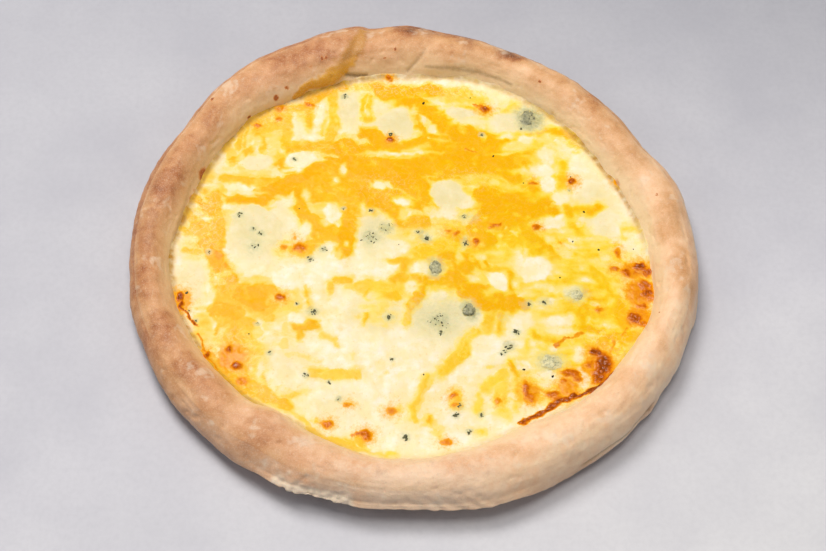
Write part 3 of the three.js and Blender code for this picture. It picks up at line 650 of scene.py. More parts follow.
# Mozzarella that shows white between the shreds: x, y, half width, half depth, strength.
WHITES = [
    (-9, 88, 9, 11, 1), (-36, 97, 4.5, 12, 1), (-52, 94, 2.5, 9, 1), (-85, 62, 9, 5, .9),
    (-62, 62, 8, 6, .95), (-37.4, 56, 1.8, 4.4, .9), (-93, 45, 8, 2, .9), (-84, 17, 13, 15, 1),
    (-84, -4, 9, 8, .95), (-43, 28, 5, 6, .7), (-18, 44.5, 5, 2.6, .9), (-13, 46, 3, 2, .6),
    (-5, 35, 5, 2.5, 1), (19, 39, 9, 10, .85), (29, 36, 6, 5, .85), (20, 27, 5, 3, .5),
    (27, 95.6, 9, 4, .9), (52, 88, 9, 6, .9), (72, 55.6, 8, 3.6, .9), (75, 47, 4, 7, .9),
    (95, 50, 9, 14, .9), (105, 20, 8, 9, .85), (75, 22, 4.5, 3, 1), (66, -8, 9, 9, 1),
    (46.5, -17.5, 5, 6.6, .95), (4, -7, 5, 3.5, .85), (0, -20, 4, 4, .6), (76, -41, 8, 4, .9),
    (92, -16, 4, 2, .6), (100, -43, 4, 2.5, .6), (85, -60, 3.2, 5, .9), (86.6, -73.6, 3.4, 5, .95),
    (61, -24, 4, 2, .3), (58, -40, 6, 8, .8), (69, -74, 7, 4, .7), (40, -57, 9, 9, .9),
    (-116, -18, 5, 14, .95), (-96, -60, 5, 4, .6), (-8, 67.2, 20, 1.2, .85), (52, 66.8, 8, 1.2, .6),
    (12, 84, 3, 3, .8), (52, 79, 4.4, 2, .8), (63, 76, 4, 4, .8), (74, 66, 5, 5, .8),
    (81, 37, 5, 5, .85), (83, 5, 6, 3, .6), (-57, 16.6, 2.6, 4.2, .9), (-98, 7, 2, 6, .7),
    (-84, -11, 12, 2, .4), (-64, -15, 9, 6, .9), (-10, 5, 8, 5, .8), (-17, -8, 8, 5, .8),
    (-40, 0, 3, 3, .6), (-42, -28, 5, 5, .6), (-42, -45, 4, 3, .7), (46, -21.5, 4, 1.8, .7),
    (59, 55, 6, 1.6, .6), (56, -3, 3, 8, .7), (34, 89, 7, 3, .7), (14, 101, 5, 2, .7),
    (78, -46, 7, 2.4, .7), (40, -98, 6, 3, .5), (-15, -111, 8, 5, .7), (-50, -55, 9, 5, .6),
    (-72, -90, 4, 2, .5), (-66, 55, 6, 1.8, .8), (-20, -25, 4, 3, .6), (25, -1, 2, 4, .6),
    (38, 84, 3, 1.6, .4), (-87, 41.5, 7, 1.4, .6), (-75, 34, 3, 2, .6), (44, -23, 5, 2.4, .6),
    (70, -30, 8, 4, .4), (-72, -28, 4, 3, .4), (26, -84, 3, 5, .6), (-78, 68, 4, 3, .5),
    (-122, 9, 4, 2, .3), (-111, 23, 4, 1.2, .8), (-86, 74, 3, 4, .5), (-36, 7, 1.6, 1.8, .7),
    (-25, 96, 2, 3, .6), (70, -20, 5, 2.4, .6), (12, 14, 6, 4, .6), (27, 5, 3, 3, .4),
    (50, -88, 2, 6, .4), (108, -22, 3, 4, .4), (83, -22, 5, 4, .7), (113, -16, 3, 3, .3),
    (52, 46, 8, 2.6, .35), (-56, -88, 5, 4, .6), (-20, -51, 18, 7, .7), (-30, -90, 22, 14, .7),
    (22, -100, 12, 8, .6), (-31, 84, 2.4, 2.6, .8), (13, -25, 5, 3, .8), (31, -16, 2.4, 2, .7),
    (-38, -4, 4, 3, .7), (0.5, 97, 1.6, 2.4, .7), (6, 89, 2, 2.6, .7), (17, 98, 4, 2, .7),
    (25, 91, 2.4, 3, .7), (45, 103, 3, 4, .7), (-14, 102, 5, 2, .6), (-66, 84, 1.6, 10, .6),
    (-55, 98, 1.4, 6, .7), (58, 71, 8, 4.4, .5), (67, 22, 3, 2, .6), (114, 6, 5, 4, .5),
    (72, 40, 4, 3, .5), (-79, -45, 3, 7, .4), (-60, -39.5, 4, 3, .9), (-105, -25, 1.8, 7, .7),
    (-118, -22, 3, 4, .9), (-63, -78, 8, 5, .5), (-77, -70, 2, 5, .6), (-100, 33, 3, 2.4, .8),
    (-110, 43.5, 5, 2.4, .6), (-57.5, 38, 2.2, 4, .7), (-46, 21, 4, 2.4, .6), (-42, 49, 2, 2.4, .7),
    (-25.5, 30, 1.6, 5, .7), (-4, 27, 3, 4, .6), (9, 29, 3, 3, .6), (0, 12, 4, 2.4, .6),
    (-12, 23, 3, 3, .5), (-31, -57, 4, 3, .7), (90, 10, 10, 2.4, .5), (37, -1.5, 3, 2.4, .7),
    (60, 1, 2, 3, .6), (82, 0, 2.4, 3, .6), (74, 10, 3, 3, .6), (73, -13, 2.4, 3, .6),
    (105, -30, 2, 3, .5), (-95, 64, 2.4, 4, .6), (-99, -12, 3, 2, .5),
]
# Browned blisters: x, y, half width, half depth, strength.
BLISTERS = [
    (95, -59, 3, 2.6, .9), (92.5, -58.6, 2, 2, 1), (97.6, -66, 4.8, 7.5, .95), (95, -73, 4.5, 5, .85),
    (91, -66, 2.4, 3, .6), (88, -67, 2.4, 2.4, .35), (80.8, -71.5, 5, 2.2, .7), (84, -74, 3, 2, .6),
    (80, -79, 4, 4.4, .42), (77, -76, 2, 2, .6), (71, -83, 4, 2.6, .7), (74, -86, 4, 2, .6),
    (120.5, -7, 4, 2.6, .95), (124.5, -10.5, 3.4, 3, .8), (113, -11, 3.4, 2.8, .72),
    (107.5, -8.5, 2, 1.4, .65), (122.5, -19, 4.2, 3.6, .75), (123, -23.5, 3.4, 3, .85),
    (125, -27, 2.4, 3, .6), (119.5, -31.5, 3, 2, .65), (115.6, -39, 4, 4, .85), (119, -42, 2.6, 2, .6),
    (57.5, -81, 2.4, 5.6, .72), (60, -85, 2.4, 2.6, .6), (109.4, 1.4, 1.7, 4, .55),
    (-121.5, -25.5, 1.8, 3.4, 1), (-120, -31, 1.4, 3, .9), (-104.5, -61, 1.4, 2.6, .85),
    (-69, -26.4, 2.8, 2.4, .7), (-94, -57, 1.6, 2.6, .85), (-89, -67, 3.2, 2.4, .85),
    (-59.5, 5, 3.6, 3.2, .62), (-68, 5.4, 1.8, 1.6, .45), (-12, 76, 1.8, 2, .95),
    (41, 97.6, 3.2, 1.8, .85), (87.6, 47.6, 2, 2.4, .85), (66, 47, 2.4, 1, .55), (45, 19, 3.4, 1.4, .6),
    (19, 15, 2.2, 1.4, .5), (24, 14, 2, 1.6, .5), (34, 9, 1.6, 2.6, .7), (67, 18, 2.4, 1.4, .65),
    (-75, 91, 1.8, 2.2, .55), (-74, 98, 3.4, 2.6, .5), (-86, 86, 1.6, 1.4, .6), (-58, 101, 2.4, 1.6, .6),
    (-32, -89, 2.6, 1.8, .5), (-10, -93, 3, 2.6, .5), (-42, -100, 3, 2.4, .62), (-23, -106, 3.4, 3, .7),
    (21, -84, 2.2, 1.8, .55), (22, -89, 2.4, 1.6, .5), (44, -87, 1.4, 1.4, .5),
    (97, -33.6, 2.2, 1.4, .55), (-103, 0, 2.6, 3.4, .35), (-99, -6, 1.4, 1.4, .4), (112, 47, 2, 2, .4),
    (17, -110, 3, 1.6, .5), (80, 8, 1.2, 1.2, .3), (-63, 12, 1, 1.6, .4), (119, -9, 8, 5, .48),
    (120, -23, 8, 9, .48), (118, -38, 7, 7, .42), (95, -67, 7, 10, .4), (79, -80, 7, 6, .36),
    (60, -83, 5, 7, .36), (-92, -62, 8, 9, .42), (-119, -28, 4, 8, .34), (-86, -75, 3, 3, .5),
    (-13, 119.4, 2.4, 1.8, .62),
]
# Thin browned lines: their points, width and strength.
BROWN_LINES = [
    ([(99, -79), (92, -81), (84, -84)], 2.2, .95),
    ([(82, -83.8), (75, -87.2), (67, -92.6), (60, -97), (55, -99)], 2.4, .9),
    ([(103.5, -71.5), (97, -78), (92, -82)], 2.2, .9),
    ([(-120, -32), (-117, -37), (-111, -43)], 0.9, .9),
    ([(73.5, -55.4), (78, -52), (81, -50.6)], 1.4, .5), ([(83, -50), (88, -47)], 1.2, .45),
    ([(40, 99), (35, 101)], 1.4, .6), ([(42, 17), (48, 21)], 1.4, .5),
    ([(-24, -104), (-30, -106)], 1, .6), ([(30, 70), (35, 68)], 0.8, .5),
    ([(104, -52), (101, -62)], 1.2, .35), ([(112, -44), (108, -50)], 1, .4),
    ([(-110, -48), (-106, -58), (-99, -70)], 0.9, .5),
]
# Blue-green mould that has melted into the cheese: x, y, half width, half depth, strength.
BLUES = [
    (30, -34, 5, 5.4, .7), (12.5, -8, 4.8, 6, .55), (71, -65, 7.5, 6.5, .5), (66, 92, 9, 9, .75),
    (86, -25, 6, 5.5, .45), (-20, 14, 9, 13, .3), (15, -38, 17, 14, .32), (-85, 5, 5, 9, .35),
    (-93, 26, 4, 3, .35), (-65, 63, 2.4, 2, .35), (-37, 106, 5, 6, .25), (-51, -35, 4, 3.4, .5),
    (-12, -38, 3, 2.6, .4), (8, 11, 3.6, 3.4, .5), (29, 9, 2.6, 4, .45), (-3, -107, 4, 3, .35),
    (22, -93, 4, 3.4, .3), (54, -47, 2.6, 3.4, .3), (69, -29, 4, 3, .35), (60, -30, 3, 2.4, .3),
    (-54, -2, 3.4, 2, .45), (-47, 4, 3, 2, .3), (-54, -72, 2.4, 2, .3), (50, -56, 4, 2.4, .3),
    (30, 24, 6, 4, .3), (48, -38, 5, 3, .2), (40, 50, 4, 2, .1), (-10, 80, 2, 2, .5),
    (120, 40, 3, 8, .15), (52, 94, 10, 5, .14),
]
# Bubbly, textured cheese: x, y, half width, half depth, strength.
FROTH = [
    (-10, 114, 46, 6, .9), (-112, 20, 10, 22, .9), (-92, -60, 12, 14, .9), (-76, 96, 16, 10, .8),
    (-100, -14, 8, 8, .7), (100, -60, 12, 14, .8), (76, -80, 20, 8, .8), (118, -24, 8, 20, .8),
    (30, 112, 26, 6, .9), (66, 92, 9, 9, .8), (92, 72, 8, 10, .7), (-60, 100, 12, 8, .6),
    (-16, 44, 16, 10, .4), (30, 50, 16, 8, .35), (-45, 74, 20, 10, .3), (-80, -82, 16, 8, .6),
    (20, 20, 18, 14, .4), (34, -64, 8, 8, .25),
]
# Mozzarella that is greyer and duller than the rest: x, y, half width, half depth, strength.
DULL = [
    (-84, 18, 16, 22, 1), (-9, 90, 16, 12, .9), (-36, 97, 8, 14, .9), (-85, 62, 12, 8, .7),
    (19, 39, 13, 13, .8), (15, -40, 17, 14, .9), (100, 30, 12, 20, .7), (30, 96, 14, 6, .8),
    (-19, 16, 12, 14, .7), (-116, -18, 7, 16, .8), (60, 90, 16, 10, .8), (-66, -66, 18, 10, .5),
    (-38, -92, 16, 14, .5), (-18, -36, 14, 12, .9), (60, 94, 16, 8, .8),
]
# How deep the tone is along the edge, round the cheese: degrees anticlockwise from +X, strength.
EDGE = [
    (0, .2), (12, .85), (30, 1), (52, .7), (66, .6), (84, .75), (100, .75), (112, .9), (128, .9),
    (150, .8), (172, 1), (190, 1), (215, .9), (240, .7), (262, .4), (300, .5), (330, .5), (345, .35),
]


def pushed(value, points, *pushes):
    """A coordinate in plan, moved about by noises: each is (noise, height, size, shift)."""
    for noise, height, size, shift in pushes:
        value = value + height * noise(points + shift, size)
    return value


def warped(x, y):
    """Plan points pushed about, so that edges wander as melted ones do."""
    flat = at_level(x, y)
    return [
        pushed(value, flat, (broad, 1.7, 13, shift), (middling, 1.2, 5.5, shift), (fine, 0.6, 2.2, shift))
        for value, shift in ((x, 0), (y, 70))
    ]


def cheddar_cover(x, y):
    """How rich the cheddar is at each point, and how much mozzarella shows, from 0 to 1."""
    near_x, near_y = warped(x, y)
    flat = at_level(x, y)
    softness = 0.8 + 2.4 * smooth(broad(flat + 90, 17) + 0.006 * x, -0.2, 0.7)
    rich = np.zeros_like(x)
    halo = np.zeros_like(x)
    for *line, width, richness in SHREDS:
        away = distance_to_line(near_x, near_y, line) - width / 2
        rich = np.maximum(rich, richness * (1 - smooth(away, -0.9 * softness, 0.8 * softness)))
        halo = np.maximum(halo, richness * (1 - smooth(away, -0.5, 4.5)))
    drawn = at_level(x * 0.4 + y * 0.2, y - x * 0.08)
    streaks = 0.92 + 0.4 * middling(drawn, 3.4) + 0.15 * fine(drawn + 5, 1.5)
    tint = mottle(near_x, near_y, TINTS, 0.75)
    rich = np.maximum(rich, np.maximum(tint, 0.55 * halo) * np.clip(streaks, 0, 1.25))
    # Thin pale veins and small clouds inside the yellow.
    veins = smooth(np.abs(middling(drawn + 31, 5)), 0.1, 0.0) * smooth(broad(flat + 8, 9), -0.1, 0.5)
    clouds = smooth(middling(flat + 64, 6) + 0.5 * fine(flat + 64, 2.4), 0.25, 0.85)
    rich = rich * (1 - 0.3 * veins) * (1 - 0.2 * clouds)
    white = np.zeros_like(x)
    for centre_x, centre_y, half_x, half_y, strength in WHITES:
        away = np.hypot((near_x - centre_x) / half_x, (near_y - centre_y) / half_y)
        soft = np.clip((0.6 + 0.7 * softness) / min(half_x, half_y), 0, 0.9)
        white = np.maximum(white, strength * (1 - smooth(away, 1 - soft, 1 + soft)))
    return rich * (1 - white), white


def with_islands(x, y, rich):
    """Small paler islands with a richer rim, where shreds have melted into each other."""
    draw = np.random.default_rng(SEED + 5)
    flat = at_level(x, y)
    near_x = pushed(x, flat, (fine, 1.1, 3, 17), (middling, 0.8, 7, 17))
    near_y = pushed(y, flat, (fine, 1.1, 3, 27), (middling, 0.8, 7, 27))
    result = rich.copy()
    for _ in range(ISLANDS):
        away = ISLANDS_REACH * math.sqrt(draw.uniform())
        place = draw.uniform(0, 2 * math.pi)
        turn = draw.uniform(0, math.pi)
        size = 0.8 + 1.8 * draw.uniform() ** 1.6
        longer = draw.uniform(1.1, 2.1)
        strength = draw.uniform(0.1, 1) * (0.45 + 0.55 * smooth(away * math.cos(place), -20, 60))
        east, north = near_x - away * math.cos(place), near_y - away * math.sin(place)
        close = np.flatnonzero(np.hypot(east, north) < 2.2 * size * longer)
        along = (east[close] * math.cos(turn) + north[close] * math.sin(turn)) / longer
        aside = north[close] * math.cos(turn) - east[close] * math.sin(turn)
        share = np.hypot(along, aside) / size
        result[close] *= 1 - 0.42 * strength * (1 - smooth(share, 0.5, 1.2))
        result[close] *= 1 + 0.16 * strength * bell(share - 1.3, 0.25)
    return result


def brown_cover(x, y):
    """How browned each point is, with a soft toasted halo round each blister."""
    flat = at_level(x, y)
    near_x = pushed(x, flat, (middling, 0.8, 7, 0), (fine, 1.0, 3.4, 0), (fine, 0.45, 1.5, 31))
    near_y = pushed(y, flat, (middling, 0.8, 7, 40), (fine, 1.0, 3.4, 55), (fine, 0.45, 1.5, 71))
    halos = [(cx, cy, hx + TOASTED_REACH, hy + TOASTED_REACH, TOASTED * strength)
             for cx, cy, hx, hy, strength in BLISTERS]
    brown = np.maximum(mottle(near_x, near_y, BLISTERS, 0.6), mottle(near_x, near_y, halos, 0.9))
    for line, width, strength in BROWN_LINES:
        away = distance_to_line(near_x, near_y, line)
        brown = np.maximum(brown, strength * (1 - smooth(away, width * 0.25, width)))
    return brown


def blue_cover(x, y):
    """How blue-green each point is, also in a small halo round each group of crumbs."""
    flat = at_level(x, y)
    halos = [(cx, cy, spread * 0.9 + 1.0, spread * 0.8 + 0.8, 0.55) for cx, cy, spread, _ in MOULD]
    near_x, near_y = x + 0.8 * fine(flat, 2.4), y + 0.8 * fine(flat + 9, 2.4)
    return np.maximum(mottle(*warped(x, y), BLUES, 0.7), mottle(near_x, near_y, halos, 0.8))


def edge_radius(tree, angle):
    """Where the cheese's level meets the rim's inner wall, from a table with a place each degree."""
    turns = np.radians(np.arange(0, 360, 1.0))
    level = Vector((0, 0, CHEESE_LEVEL))
    ways = [Vector((math.cos(turn), math.sin(turn), 0)) for turn in turns]
    radii = [tree.ray_cast(level, way)[0].dot(way) for way in ways]
    return np.interp(angle, turns, radii, period=2 * np.pi)


class CheeseGrid:
    """The cheese in plan: a middle point and rings of 6, 12, 18 and so on, to inside the rim's wall."""

    def __init__(self, crust_tree):
        counts = [1] + [6 * ring for ring in range(1, CHEESE_RINGS + 1)]
        ring = np.concatenate([np.full(count, number) for number, count in enumerate(counts)])
        self.first = np.concatenate([[0], np.cumsum(counts)])      # the number of each ring's first point
        self.angle = np.concatenate([2 * np.pi * np.arange(count) / count for count in counts])
        self.level_edge = edge_radius(crust_tree, self.angle)
        # Even rings over the middle, and finer ones up to the edge, which lies inside the wall.
        fine_from = self.level_edge - FINE_BAND + BURIED
        past = (ring - EVEN_RINGS) / (CHEESE_RINGS - EVEN_RINGS)
        radius = np.where(past < 0, fine_from * ring / EVEN_RINGS, fine_from + FINE_BAND * past)
        self.x, self.y = radius * np.cos(self.angle), radius * np.sin(self.angle)
        self.flat = at_level(self.x, self.y)
        self.from_wall = np.maximum(self.level_edge - radius, -1)

    def foot(self):
        """Points under the last ring, at the height where the cheese rests on the dough's floor."""
        last = slice(self.first[-2], self.first[-1])
        radius = self.level_edge[last] - FOOT_DRAWN_IN
        x, y = radius * np.cos(self.angle[last]), radius * np.sin(self.angle[last])
        return np.stack([x, y, np.full_like(x, FOOT_HEIGHT)], -1)

    def faces(self):
        """Triangles between the rings, then the sides down to the foot, and the foot's own fan."""
        first, faces = self.first, []
        for number in range(1, CHEESE_RINGS + 1):
            steps = np.arange(number)
            inner_count = max(6 * (number - 1), 1)
            for sector in range(6):
                outside = sector * number + steps
                inside = sector * (number - 1) + steps
                a = first[number - 1] + inside % inner_count
                b = first[number] + outside
                c = first[number] + (outside + 1) % (6 * number)
                d = first[number - 1] + (inside + 1) % inner_count
                faces += np.stack([a, b, c], -1).tolist()
                faces += np.stack([a, c, d], -1)[:-1].tolist()
        count = 6 * CHEESE_RINGS
        start, foot_start = first[-2], first[-1]
        middle = foot_start + count
        for step in range(count):
            after = (step + 1) % count
            faces.append((start + step, foot_start + step, foot_start + after, start + after))
            faces.append((middle, foot_start + after, foot_start + step))
        return faces


def cheese_fields(grid):
    """What the cheese's height and material read, one value a point."""
    x, y, flat = grid.x, grid.y, grid.flat
    rich, white = cheddar_cover(x, y)
    places, strengths = zip(*EDGE)
    edge = smooth(-grid.from_wall, -3.6 - 1.4 * middling(flat + 3, 6), -0.2)
    peach = 0.5 + 0.5 * broad(flat + 52, 24) + 0.35 * middling(flat + 52, 8) - 0.006 * x
    # The crease share marks the creases of the blisters, where the material paints shade.
    return {
        "cheddar": with_islands(x, y, rich), "white": white, "brown": brown_cover(x, y),
        "blue": blue_cover(x, y), "froth": mottle(x, y, FROTH, 0.6), "peach": np.clip(peach, 0, 1),
        "edge": edge * np.interp(np.degrees(grid.angle), places, strengths, period=360),
        "dull": mottle(*warped(x, y), DULL, 0.8), "crease": smooth(crinkles(flat), 0.22, 0.02),
    }


def crinkles(flat):
    """Ridges of the browned blisters: 0 in their creases."""
    return np.abs(fine(flat + 7, 2.1))


def cheese_height(grid, fields):
    """The height of each point: swells, raised shreds and blisters, froth, and a climb at the rim."""
    flat, rich, froth = grid.flat, fields["cheddar"], fields["froth"]
    height = CHEESE_LEVEL + 0.34 * broad(flat, 26) + 0.26 * middling(flat, 11)
    height += SHRED_HEIGHT * smooth(rich, 0.15, 0.9) + WHITE_HEIGHT * fields["white"]
    height += 0.1 * fine(flat, 4.6) + 0.05 * fine(flat + 12, 2.3)
    lively = 0.25 + 0.75 * np.maximum(froth, smooth(rich, 0.2, 0.7) * 0.5)
    height += lively * (0.09 * fine(flat + 81, 1.7) + 0.08 * middling(flat + 23, 2.6))
    height -= BUBBLE_DEPTH * froth * smooth(middling(flat + 19, 2.6), 0.3, 0.6)
    height += smooth(fields["brown"], 0.3, 0.9) * (BLISTER_HEIGHT + CRINKLE_HEIGHT * crinkles(flat))
    height += BLUE_HEIGHT * smooth(fields["blue"], 0.3, 0.8)
    # Near the rim the cheese climbs the wall a little, more in some places than in others.
    rim_points = CLIMB_ROUND * np.stack([np.cos(grid.angle), np.sin(grid.angle), 0 * grid.angle], -1)
    climb = 1.15 + 0.8 * middling(rim_points, 11) + 0.35 * fine(rim_points, 3.5)
    return height + np.clip(climb, *CLIMB) * np.exp(-grid.from_wall / CLIMB_WIDTH)


def make_cheese(crust_tree):
    grid = CheeseGrid(crust_tree)
    fields = cheese_fields(grid)
    top = np.stack([grid.x, grid.y, cheese_height(grid, fields)], -1)
    foot = grid.foot()
    points = np.concatenate([top, foot, [[0, 0, FOOT_HEIGHT]]])
    piece = make_mesh("melted_cheese", points, grid.faces())
    below = np.zeros(len(foot) + 1)
    paint(piece, {name: np.concatenate([values, below]) for name, values in fields.items()})
    return piece


# ---- Lumps of blue cheese, crumbs of mould and burnt specks -----------------------------------

LUMP_DETAIL = 5
LUMP_FLATNESS = np.array([1, 1, 0.93])
LUMP_TONES = (0.7, 0.55, 0.25, 0.7, 0.25)      # 0 is pale, 1 is dark grey-green
LUMP_SKIRT = 0.6           # height over which a lump takes on the cheese's colour
CRUMB_DETAIL = 2
CRUMB_UNEVENNESS = 0.35
CRUMBS_SUNK = 0.6          # share of a crumb that is under the surface
CRUMBS_LONGEST = 2.4       # as a multiple of its width
SPECKS_SUNK = 0.5
SPECKS_LONGEST = 1.5
CHEESE_SURELY = 110        # the cheese reaches at least this far from the middle

# Dark crumbs of mould: x, y, how far they spread, how many.
MOULD = [
    (-51, -35, 2.6, 12), (-12, -38, 2.2, 8), (-93, 26, 2, 7), (-54, -2.5, 2, 7), (-47, 4, 2, 5),
    (-81, 14, 1.6, 4), (-85, 17, 1.4, 3), (-65, 63, 1.4, 4), (-12, 80, 1.6, 7), (-38, 107, 2, 5),
    (-37, 30, .8, 1), (-22, 29, 1, 2), (-10, -63, .8, 2), (-54, -72, 1.6, 4), (-42, -76, 1, 2),
    (-73, -59, 1, 2), (-37, -86, 1.2, 3), (-3, -107, 2.2, 8), (15, -47, 1.4, 3), (22, -95, 1.8, 8),
    (24, -90, 1.6, 5), (54, -47, 1.8, 8), (61, -30, 1.6, 4), (69, -29, 1.8, 5), (48, -58, 1.4, 3),
    (28, 25, 1.6, 5), (8, 11, 2.2, 8), (29, 8, 2, 7), (28.5, -104, 1.4, 4), (-118, -23, 1, 2),
    (-112, -40, 1, 2), (30, -33, 3.4, 16), (12.5, -7, 3.2, 10), (-22, 12, 6, 9), (-14, 18, 5, 5),
    (14, -40, 8, 8), (66, 94, 3.4, 8), (71, -63, 3, 4), (-108, 2, 1.2, 3), (50, -55, 3, 3),
    (-84, 6, 3, 3), (61, 84, 1, 2), (46, -60, 1, 2), (86, 42, .5, 1), (35, -95, 1, 2),
    (-116, -34, .8, 1), (39, 80, 1.2, 3), (-80, -42, 1, 1), (4, 15, 2, 3), (-60, -30, .8, 1),
]
# Burnt specks on the cheese: x, y, size.
BURNT = [
    (6.5, 102, 1.3), (45, 65, 0.9), (99.5, 3.5, 1.1), (93, 28, 1.1), (86, 9, 0.8), (78, -14, 0.8),
    (57, -69, 1.1), (71.5, -73, 1.2), (6, -72, 0.8), (61, 47, 0.6), (87, 51, 0.8), (-61, 30, 0.6),
    (-7, 7, 0.5), (33, 106, 0.7), (118, 4, 0.6), (-84, -48, 0.7),
]


def icosphere(detail):
    """Points and triangles of a ball of radius 1."""
    ball = bmesh.new()
    bmesh.ops.create_icosphere(ball, subdivisions=detail, radius=1)
    points = np.array([vertex.co for vertex in ball.verts])
    faces = [[vertex.index for vertex in face.verts] for face in ball.faces]
    ball.free()
    return points, np.array(faces)


def make_lump(index):
    low, high = (np.array(corner) / MM - DOUGH_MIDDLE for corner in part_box(f"blue_cheese_{index + 1}"))
    ball, faces = icosphere(LUMP_DETAIL)
    shifted = ball + 7 * index
    swell = 1 + 0.16 * broad(shifted, 0.9) + 0.1 * middling(shifted, 0.42) + 0.05 * fine(shifted, 0.2)
    swell -= 0.1 * smooth(fine(shifted + 5, 0.3), 0.3, 0.6)
    points = ball * swell[:, None]
    points = (low + high) / 2 + points / np.abs(points).max(0) * (high - low) / 2 * LUMP_FLATNESS
    piece = make_mesh(f"blue_lump_{index + 1}", points, faces.tolist())
    vein = LUMP_TONES[index] + 0.22 * middling(shifted, 0.5) + 0.12 * fine(shifted, 0.25)
    clear = points[:, 2] - CHEESE_LEVEL - 0.3 + 0.25 * vein
    paint(piece, {"vein": np.clip(vein, 0, 1), "skirt": 1 - smooth(clear, 0.1, LUMP_SKIRT)})
    return piece


def scatter(name, places, sunk, longest, cheese_tree, crust_tree):
    """Joins small uneven grains into one piece. Each place is x, y, half size in plan and in height."""
    ball, faces = icosphere(CRUMB_DETAIL)
    draw = np.random.default_rng(SEED + len(places))
    points, joined = [], []
    for x, y, size, tall in places:
        grain = ball * (1 + CRUMB_UNEVENNESS * broad(ball + draw.uniform(0, 50, 3), 0.8)[:, None])
        turn = draw.uniform(0, math.pi)
        across, along = math.cos(turn), math.sin(turn)
        spin = np.array([[across, -along, 0], [along, across, 0], [0, 0, 1]])
        grain = (grain * [size * draw.uniform(1.0, longest), size, tall]) @ spin.T
        above = Vector((x, y, ABOVE_ALL))
        found = [cheese_tree.ray_cast(above, DOWN)[0]]
        if math.hypot(x, y) >= CHEESE_SURELY:
            found.append(crust_tree.ray_cast(above, DOWN)[0])
        ground = max(place.z for place in found if place)
        joined.append(faces + len(ball) * len(points))
        points.append(grain + [x, y, ground + tall * (1 - 2 * sunk)])
    return make_mesh(name, np.concatenate(points), np.concatenate(joined).tolist())


def make_mould(*trees):
    draw = np.random.default_rng(SEED)
    places = []
    for x, y, spread, count in MOULD:
        for _ in range(2 * count):
            away = spread * math.sqrt(draw.uniform()) * draw.uniform(0.3, 1)
            turn = draw.uniform(0, 2 * math.pi)
            size = 0.14 + 0.42 * draw.uniform() ** 2
            places.append((x + away * math.cos(turn), y + away * math.sin(turn), size, size * 0.5))
    return scatter("mould_crumbs", places, CRUMBS_SUNK, CRUMBS_LONGEST, *trees)


def make_burnt(*trees):
    places = [(x, y, size / 2, size * 0.4) for x, y, size in BURNT]
    return scatter("burnt_specks", places, SPECKS_SUNK, SPECKS_LONGEST, *trees)


# ---- Materials --------------------------------------------------------------------------------

def colour(code):
    """A colour given as rrggbb in hexadecimal, as linear red, green, blue and 1."""
    parts = [int(code[i:i + 2], 16) / 255 for i in (0, 2, 4)]
    return [p / 12.92 if p <= 0.04045 else ((p + 0.055) / 1.055) ** 2.4 for p in parts] + [1]


COAT_ROUGHNESS = 0.15


